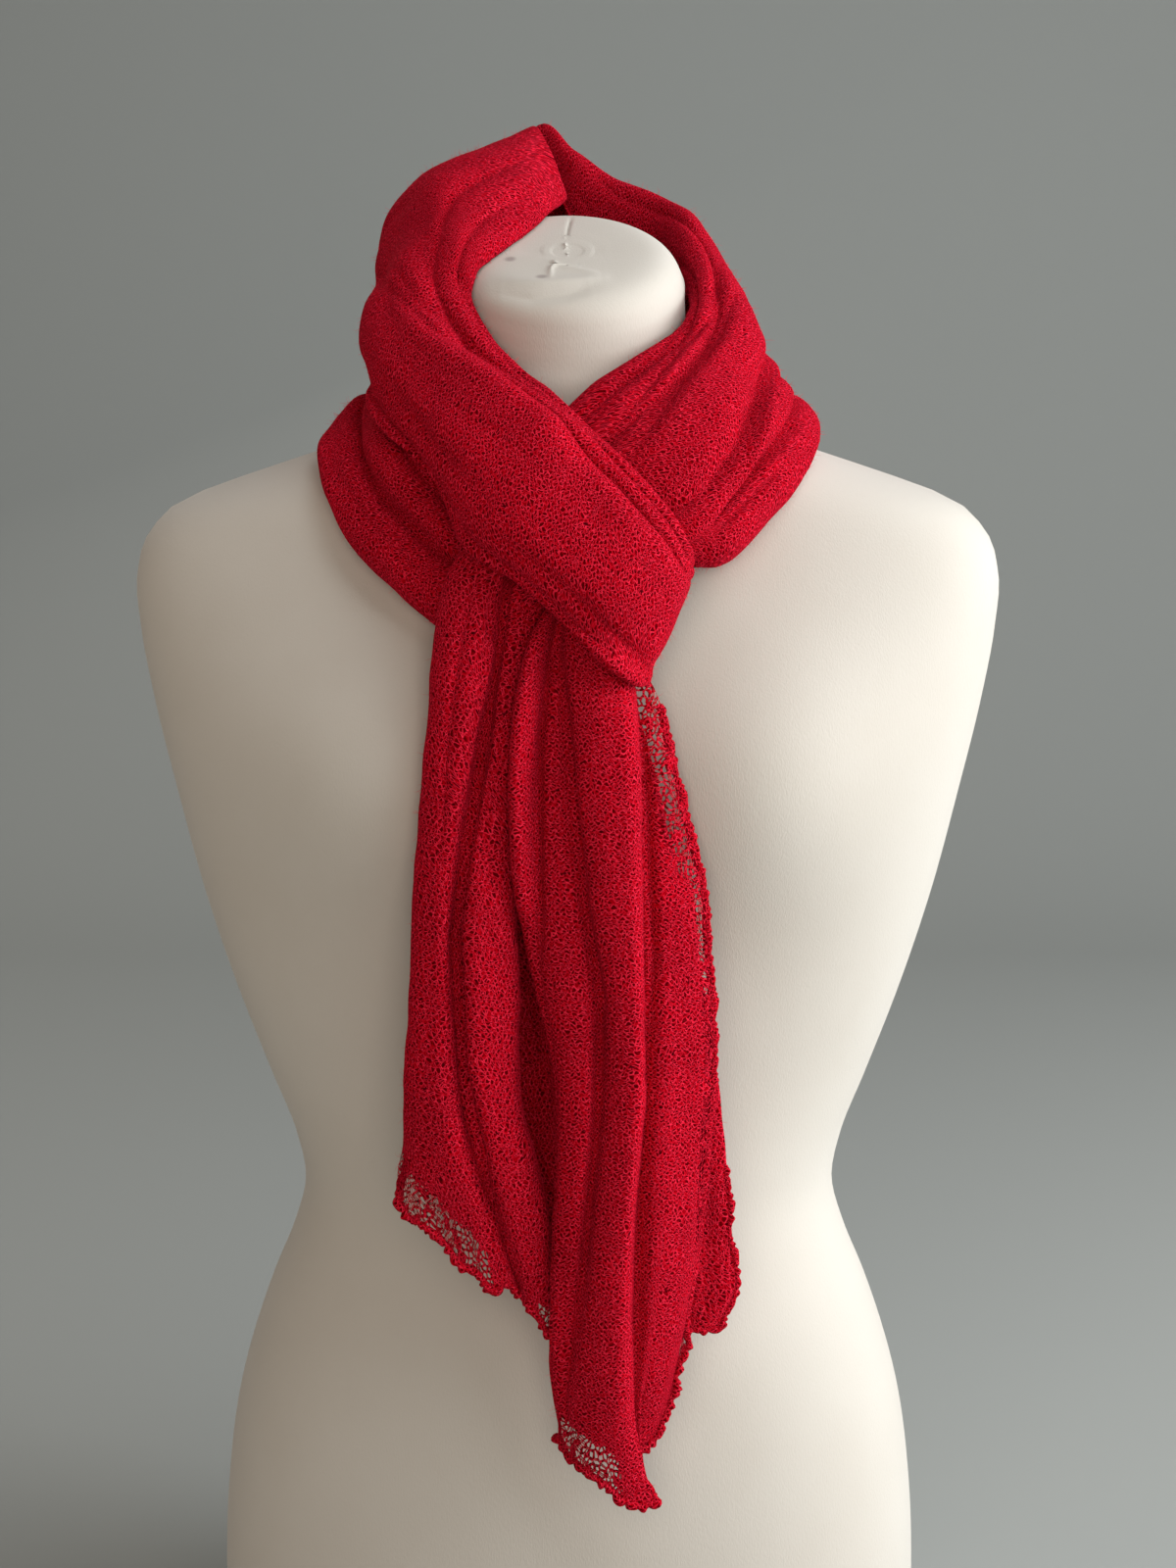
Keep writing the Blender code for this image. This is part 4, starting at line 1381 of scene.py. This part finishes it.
@dataclass
class Shawl:
    """The shawl: its stretches, laid one over another from the innermost to the outermost.

    Args:
        form: The dress form that it lies on.
        knits: The knit for each way that the rows of loops lie.
        hair: The finish of the halo.
        pieces: The stretches that are finished, by name.
    """

    form: Piece
    knits: dict[Stitch, Material]
    hair: Material
    pieces: dict[str, Piece] = field(default_factory=dict)

    def _finish(self, stretch: Stretch) -> None:
        """Makes a laid stretch a piece of the shawl."""
        piece = stretch.sheet(self.knits[stretch.stitch])
        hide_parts(stretch.name)
        trim = [border.build(stretch, self.knits[Stitch.WAVY]) for border in stretch.borders]
        trim.append(Halo().build(stretch, self.hair))
        for part in (piece, *trim):
            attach(part, BODY)
            LOG.info("%s: %d faces", part.name, len(part.data.polygons))
        self.pieces[stretch.name] = piece

    def _below(self, names: tuple[str, ...]) -> list[Piece]:
        """The form and the named pieces."""
        return [self.form] + [self.pieces[name] for name in names]

    def build(self) -> None:
        """Lays each stretch and finishes it.

        The start of loop_over lies under upper_turn and its end lies over it, so the start is
        laid first and shown to upper_turn, and the end is laid last.
        """
        for stretch in (self.lower_turn(), self.tail_rear(), self.tail_left(), self.tail_right()):
            stretch.rumple()
            stretch.lay(self._below(stretch.rests_on))
            self._finish(stretch)
        over, turn = self.loop_over(), self.upper_turn()
        over.rumple()
        over.lay(self._below(("lower_turn",)))
        rows = round(START_SHARE * len(over.points))
        flat = tuple(part[:rows] for part in over.flat_places())
        start = grid_object("start", over.points[:rows], flat, np.zeros(flat[0].shape))
        give_wall(start)
        turn.rumple()
        turn.lay(self._below(("lower_turn",)))
        turn.lay([start], rows=(0, ENDS_MEET))
        bpy.data.objects.remove(start)
        self._finish(turn)
        over.lay(self._below(("tail_left", "tail_right", "upper_turn"))[1:], rows=(ENDS_MEET, 1))
        self._finish(over)

    @staticmethod
    def loop_over() -> Stretch:
        """From the back over the left shoulder and across the front, to the bend."""
        return Stretch(
            name="loop_over",
            sections=LOOP_OVER,
            folds=(
                Fold((0.0, 0.0, 0.0, 0.0, 0.0), (0, 2, 4, 4, 3)),
                Fold((0.13, 0.12, 0.11, 0.12, 0.12), (0, 3, 4, 5, 3)),
                Fold((0.25, 0.25, 0.24, 0.22, 0.2), (0.5, 7, 10, 7, 3), 0.3),
                Fold((0.88, 0.87, 0.87, 0.87, 0.88), (1, 3, 5, 5, 5)),
            ),
            # Each crease is its line, its depth and its width, and so in the stretches below.
            creases=(
                Crease(((385, 300), (440, 352), (484, 376), (550, 420), (618, 462)), -1.6, 4.0),
                Crease(((388, 286), (440, 332), (490, 356), (560, 402), (622, 450)), 3.0, 2.8),
                Crease(((395, 262), (420, 300), (470, 335), (520, 380)), 2.6, 3.2),
                Crease(((500, 545), (545, 576), (600, 622), (650, 668)), 2.6, 2.6),
                Crease(((385, 330), (425, 385), (480, 430), (540, 470)), 1.6, 9.0),
                Crease(((395, 400), (440, 455), (500, 520)), 2.2, 5.0),
                Crease(((382, 372), (420, 430), (462, 480)), 2.0, 3.5),
                Crease(((560, 470), (610, 520), (650, 570)), 1.2, 10.0),
                Crease(((440, 195), (432, 250), (446, 310)), 1.6, 6.0),
                Crease(((-62, 642), (-30, 660), (10, 668), (50, 664)), 3.2, 4.0, View.LEFT),
                Crease(((-50, 622), (-10, 634), (30, 640), (60, 640)), 2.4, 4.0, View.LEFT),
                Crease(((20, 700), (45, 690), (70, 660)), 2.0, 6.0, View.LEFT),
                Crease(((-40, 690), (-60, 668), (-72, 640)), 2.0, 5.0, View.BACK),
                Crease(((-14, 715), (-34, 700), (-55, 690)), 1.6, 5.0, View.BACK),
            ),
            cut=(0.24, 0.30),
            area=0.045,
            held="folded",
            rests_on=("lower_turn", "tail_left", "tail_right", "upper_turn"),
        )

    @staticmethod
    def lower_turn() -> Stretch:
        """From that bend back under the tails, over the left shoulder and round the back."""
        return Stretch(
            name="lower_turn",
            sections=LOWER_TURN,
            folds=(
                Fold((0.0, 0.0, 0.0, 0.0, 0.0), (3, 4, 5, 4, 3)),
                Fold((0.28, 0.30, 0.32, 0.3, 0.30), (5, 7, 6, 7, 6)),
                Fold((0.54, 0.60, 0.60, 0.58, 0.58), (6, 8, 6, 7, 7), 0.4),
            ),
            creases=(
                Crease(((357, 444), (388, 506), (430, 545), (472, 567)), 3.6, 3.4),
                Crease(((336, 470), (372, 530), (420, 580), (450, 600)), 2.4, 4.0),
                Crease(((828, 456), (794, 480), (755, 519), (719, 555)), 3.4, 3.0),
                Crease(((812, 432), (775, 474), (735, 516), (712, 536)), 2.4, 3.0),
                Crease(((-60, 598), (-20, 604), (30, 602), (65, 596)), 2.0, 5.0, View.BACK),
                Crease(((-40, 618), (0, 624), (45, 618)), 1.6, 4.0, View.BACK),
                Crease(((-20, 590), (20, 606), (50, 604)), 2.0, 5.0, View.RIGHT),
                Crease(((-20, 592), (20, 606), (50, 604)), 2.0, 5.0, View.LEFT),
            ),
            cut=(0.14, 0.60),
            area=0.054,
            held="folded",
            rests_on=(),
            step=0.0014,
        )

    @staticmethod
    def upper_turn() -> Stretch:
        """Above it, from the back-left over the right shoulder to the front."""
        return Stretch(
            name="upper_turn",
            sections=UPPER_TURN,
            folds=(
                Fold((0.0, 0.0, 0.0, 0.0, 0.0), (0, 0.5, 4, 4, 4)),
                Fold((0.13, 0.13, 0.13, 0.14, 0.14), (0, 0.5, 5, 5, 4)),
                Fold((0.27, 0.28, 0.29, 0.30, 0.32), (0, 0.5, 6, 5, 4), 0.35),
                Fold((0.74, 0.75, 0.75, 0.76, 0.76), (0, 1, 4, 4, 3)),
            ),
            creases=(
                Crease(((711, 290), (697, 325), (672, 360), (612, 412)), 2.6, 2.4),
                Crease(((735, 266), (727, 321), (695, 353), (616, 452)), 3.2, 2.6),
                Crease(((753, 294), (735, 337), (695, 385), (640, 468)), 3.4, 3.2),
                Crease(((784, 345), (776, 400), (752, 455), (715, 520)), 1.8, 6.0),
                Crease(((745, 350), (720, 410), (680, 480)), 1.2, 9.0),
                Crease(((-30, 660), (5, 668), (45, 660)), 2.2, 6.0, View.BACK),
                Crease(((-40, 650), (0, 646), (50, 642)), 1.8, 5.0, View.BACK),
                Crease(((-30, 640), (10, 652), (50, 660)), 2.0, 5.0, View.RIGHT),
            ),
            cut=(0.16, 0.34),
            area=0.0365,
            held="folded",
            rests_on=("lower_turn",),
        )

    @staticmethod
    def tail_left() -> Stretch:
        """The left tail, drawn through the loop."""
        return Stretch(
            name="tail_left",
            sections=TAIL_LEFT,
            folds=(
                Fold((0.0, 0.0, 0.0, 0.0, 0.0), (9, 11, 11, 10, 5), 0.6),
                Fold((0.52, 0.62, 0.43, 0.47, 0.7), (7, 10, 11, 10, 5), 0.45),
            ),
            creases=(
                Crease(
                    ((520, 585), (509, 667), (484, 813), (464, 953), (473, 1089), (498, 1207),
                     (516, 1262)), 5.0, 1.9,
                ),
                Crease(((487, 575), (470, 660), (456, 760), (449, 880)), 1.6, 2.0),
                Crease(((503, 590), (492, 680), (476, 790), (462, 900)), 0.8, 2.5),
                Crease(((497, 700), (500, 850), (505, 980), (512, 1100), (525, 1200)), 0.9, 6.0),
                Crease(((440, 960), (436, 1060), (428, 1160)), 0.9, 5.0),
            ),
            hem=(
                (0, -66, 292), (0.04, -71, 286), (0.09, -71, 279), (0.15, -66, 270),
                (0.26, -55, 265), (0.36, -45, 253), (0.44, -38, 250), (0.48, -35, 244),
                (0.54, -30, 240), (0.60, -25, 245), (0.66, -21, 239), (0.76, -15, 230),
                (0.88, -9, 221), (1, -4, 217),
            ),
            lace=(("hem", 0.03, 0.52, 22), ("hem", 0.84, 0.96, 13)),
            borders=(Border("left_hem_border", (("hem", 0.0, 1.0),)),),
            cut=(0.09, 0.32),
            area=0.026,
            fineness=1.8,
            stitch=Stitch.LADDER,
            held="hung",
            rests_on=("lower_turn", "tail_rear"),
        )

    @staticmethod
    def tail_rear() -> Stretch:
        """The tails' rear layer, which shows at the right and in the slit."""
        return Stretch(
            name="tail_rear",
            sections=TAIL_REAR,
            folds=(
                Fold((0.0, 0.0, 0.0, 0.0, 0.0), (2, 3, 3, 3, 1)),
                Fold((0.50, 0.48, 0.47, 0.45, 0.45), (2, 3, 3, 3, 1)),
            ),
            creases=(
                Crease(((538, 960), (546, 1040), (552, 1120), (556, 1210)), 14.0, 10.0),
                Crease(((723, 1180), (722, 1260), (720, 1340)), 1.5, 4.0),
                Crease(((750, 1305), (735, 1330), (712, 1350)), -1.2, 2.5),
            ),
            borders=(Border("rear_border", (("right", 0.62, 1.0), ("hem", 1.0, 0.0)), 1.7, 0.8),),
            cut=(0.10, 0.29),
            area=0.024,
            stitch=Stitch.LADDER,
            free_edge=True,
            held="hung",
            rests_on=("lower_turn",),
            step=0.0014,
        )

    @staticmethod
    def tail_right() -> Stretch:
        """The right tail, drawn through the loop, with the scalloped edge on its right."""
        return Stretch(
            name="tail_right",
            sections=TAIL_RIGHT,
            folds=(
                Fold((0.0, 0.0, 0.0, 0.0, 0.0), (8, 8, 6, 3, 1)),
                Fold((0.18, 0.18, 0.10, 0.08, 0.08), (1, 1, 2, 4, 1)),
                Fold((0.20, 0.32, 0.37, 0.26, 0.14), (10, 14, 14, 13, 5), 0.7, 2.1),
                Fold((0.86, 0.76, 0.62, 0.56, 0.62), (2, 3, 4, 4, 2), 0.35),
            ),
            creases=(
                Crease(((574, 616), (562, 672), (551, 756), (550, 841), (551, 980)), 5.0, 1.9),
                Crease(
                    ((576, 619), (571, 658), (582, 799), (596, 925), (612, 1018), (609, 1143),
                     (594, 1304), (584, 1400)), 5.0, 2.4,
                ),
                Crease(((649, 681), (656, 742), (663, 827), (668, 980), (662, 1100)), 3.6, 2.2),
                Crease(((662, 1100), (654, 1214), (652, 1330), (650, 1460)), 2.4, 3.0),
                Crease(((620, 700), (628, 820), (636, 940)), 0.8, 8.0),
                Crease(((690, 1010), (700, 1100), (696, 1200), (690, 1300)), 0.9, 7.0),
                Crease(((566, 1200), (575, 1290), (580, 1400)), 0.8, 4.0),
            ),
            hem=(
                (0, -3.5, 173), (0.1, -0.7, 165), (0.25, 6.6, 159), (0.42, 18, 154),
                (0.50, 22, 149), (0.56, 31, 144), (0.60, 39, 145), (0.63, 36, 151.5),
                (0.67, 28.5, 160.5), (0.70, 27.6, 170), (0.74, 29.6, 169), (0.84, 38.5, 173),
                (0.90, 43, 185), (0.96, 47, 199), (1.0, 54, 214),
            ),
            lace=(
                ("right", 0.08, 0.36, 17), ("right", 0.34, 0.78, 9), ("right", 0.84, 1.0, 11),
                ("hem", 0.04, 0.5, 22),
            ),
            borders=(Border("right_border", (("right", 0.10, 1.0), ("hem", 1.0, 0.0)), 2.0, 1.3),),
            cut=(0.11, 0.38),
            area=0.0375,
            fineness=1.8,
            free_edge=True,
            held="hung",
            rests_on=("lower_turn", "tail_rear", "tail_left"),
        )


# ---------------------------------------------------------------- studio
# Each light's place in metres, its power in watts and its colour.
LIGHTS = {
    "window": ((1.98, -0.17, 0.80), 49.0, (1.0, 1.0, 1.0)),
    "window_side": ((1.63, -0.94, 1.13), 11.0, (1.0, 1.0, 1.0)),
    "window_top": ((0.94, -0.66, 2.09), 16.0, (1.0, 1.0, 1.0)),
    "room_front": ((0.0, -1.97, 0.80), 15.0, (1.0, 0.84, 0.71)),
    "room_left": ((-1.93, 0.0, 0.97), 8.0, (1.0, 0.84, 0.70)),
    "ceiling": ((0.0, 0.0, 2.45), 4.5, (0.95, 0.97, 1.0)),
    "room_back": ((-0.6, 1.8, 1.3), 4.0, (1.0, 0.9, 0.8)),
}


@dataclass(frozen=True)
class Studio:
    """The floor and backdrop, the soft lights and the camera.

    Args:
        tone: Colour of the backdrop.
        softness: Width of each light, in metres.
        aim: The place that the lights are aimed at.
        side: Half the floor's width.
        near: Where the floor begins, in front of the form.
        bend: Where it begins to curve up, behind the form.
        radius: The curve's radius.
        top: Height of the backdrop.
        drop: How far the floor lies below the form's underside.
    """

    tone: Colour = (0.345, 0.37, 0.362)
    softness: float = 1.5
    aim: tuple[float, float, float] = (0.0, 0.0, 0.45)
    side: float = 4.0
    near: float = -3.0
    bend: float = 1.5
    radius: float = 0.8
    top: float = 3.4
    drop: float = 0.0005

    def sweep(self) -> None:
        """A pale floor that curves up into the backdrop."""
        shape = bmesh.new()
        turn = np.linspace(0, math.pi / 2, 13)
        back, up = self.bend + self.radius * np.sin(turn), self.radius * (1 - np.cos(turn))
        line = [(self.near, 0.0), *zip(back, up), (back[-1], self.top)]
        verts = [shape.verts.new((-self.side, y, z - self.drop)) for y, z in line]
        edges = [shape.edges.new(pair) for pair in zip(verts, verts[1:])]
        made = bmesh.ops.extrude_edge_only(shape, edges=edges)["geom"]
        moved = [item for item in made if isinstance(item, bmesh.types.BMVert)]
        bmesh.ops.translate(shape, vec=(2 * self.side, 0, 0), verts=moved)
        bmesh.ops.recalc_face_normals(shape, faces=shape.faces)
        mesh = new_mesh("studio_sweep", shape)
        values = {"Base Color": (*self.tone, 1), "Roughness": 0.95}
        mesh.materials.append(new_material("studio_paper", values)[0])
        new_piece("studio_sweep", mesh)

    def light(self, name: str, place: tuple[float, ...], watts: float, colour: Colour) -> None:
        """A soft square light aimed at the shawl."""
        lamp = bpy.data.lights.new(name, "AREA")
        lamp.shape = "SQUARE"
        lamp.size = self.softness
        lamp.energy = watts
        lamp.color = colour
        piece = new_piece(name, lamp)
        piece.location = place
        way = Vector(self.aim) - Vector(place)
        piece.rotation_euler = way.to_track_quat("-Z", "Y").to_euler()

    def camera(self) -> None:
        """The camera at the photograph's viewing angle."""
        data = bpy.data.cameras.new("camera")
        data.sensor_width = SENSOR
        data.sensor_fit = "AUTO"
        data.lens = LENS
        piece = new_piece("camera", data)
        piece.location = CAMERA_AT
        piece.rotation_euler = (math.pi / 2 - CAMERA_DOWN, 0, 0)
        bpy.context.scene.camera = piece

    def build(self) -> None:
        """Sets the whole studio up."""
        self.sweep()
        for name, (place, watts, colour) in LIGHTS.items():
            self.light(name, place, watts, colour)
        world = bpy.data.worlds.new("studio_air")
        world.use_nodes = True
        air = world.node_tree.nodes["Background"]
        air.inputs["Color"].default_value = (1.0, 0.8, 0.65, 1)
        air.inputs["Strength"].default_value = 0.02
        bpy.context.scene.world = world
        bpy.context.scene.view_settings.view_transform = "Standard"
        self.camera()
        LOG.info("studio: %d lights", len(LIGHTS))


def main() -> None:
    """Builds the form, the shawl and the studio."""
    logging.basicConfig(level=logging.INFO, format="%(name)s: %(message)s")
    form = DressForm().build(JerseyFinish().make())
    LOG.info("%s: %d faces", form.name, len(form.data.polygons))
    work = KnitWork()
    knits = {finish.stitch: finish.make(work) for finish in FINISHES}
    Shawl(form, knits, HairFinish().make()).build()
    Studio().build()


if __name__ == "__main__":
    main()
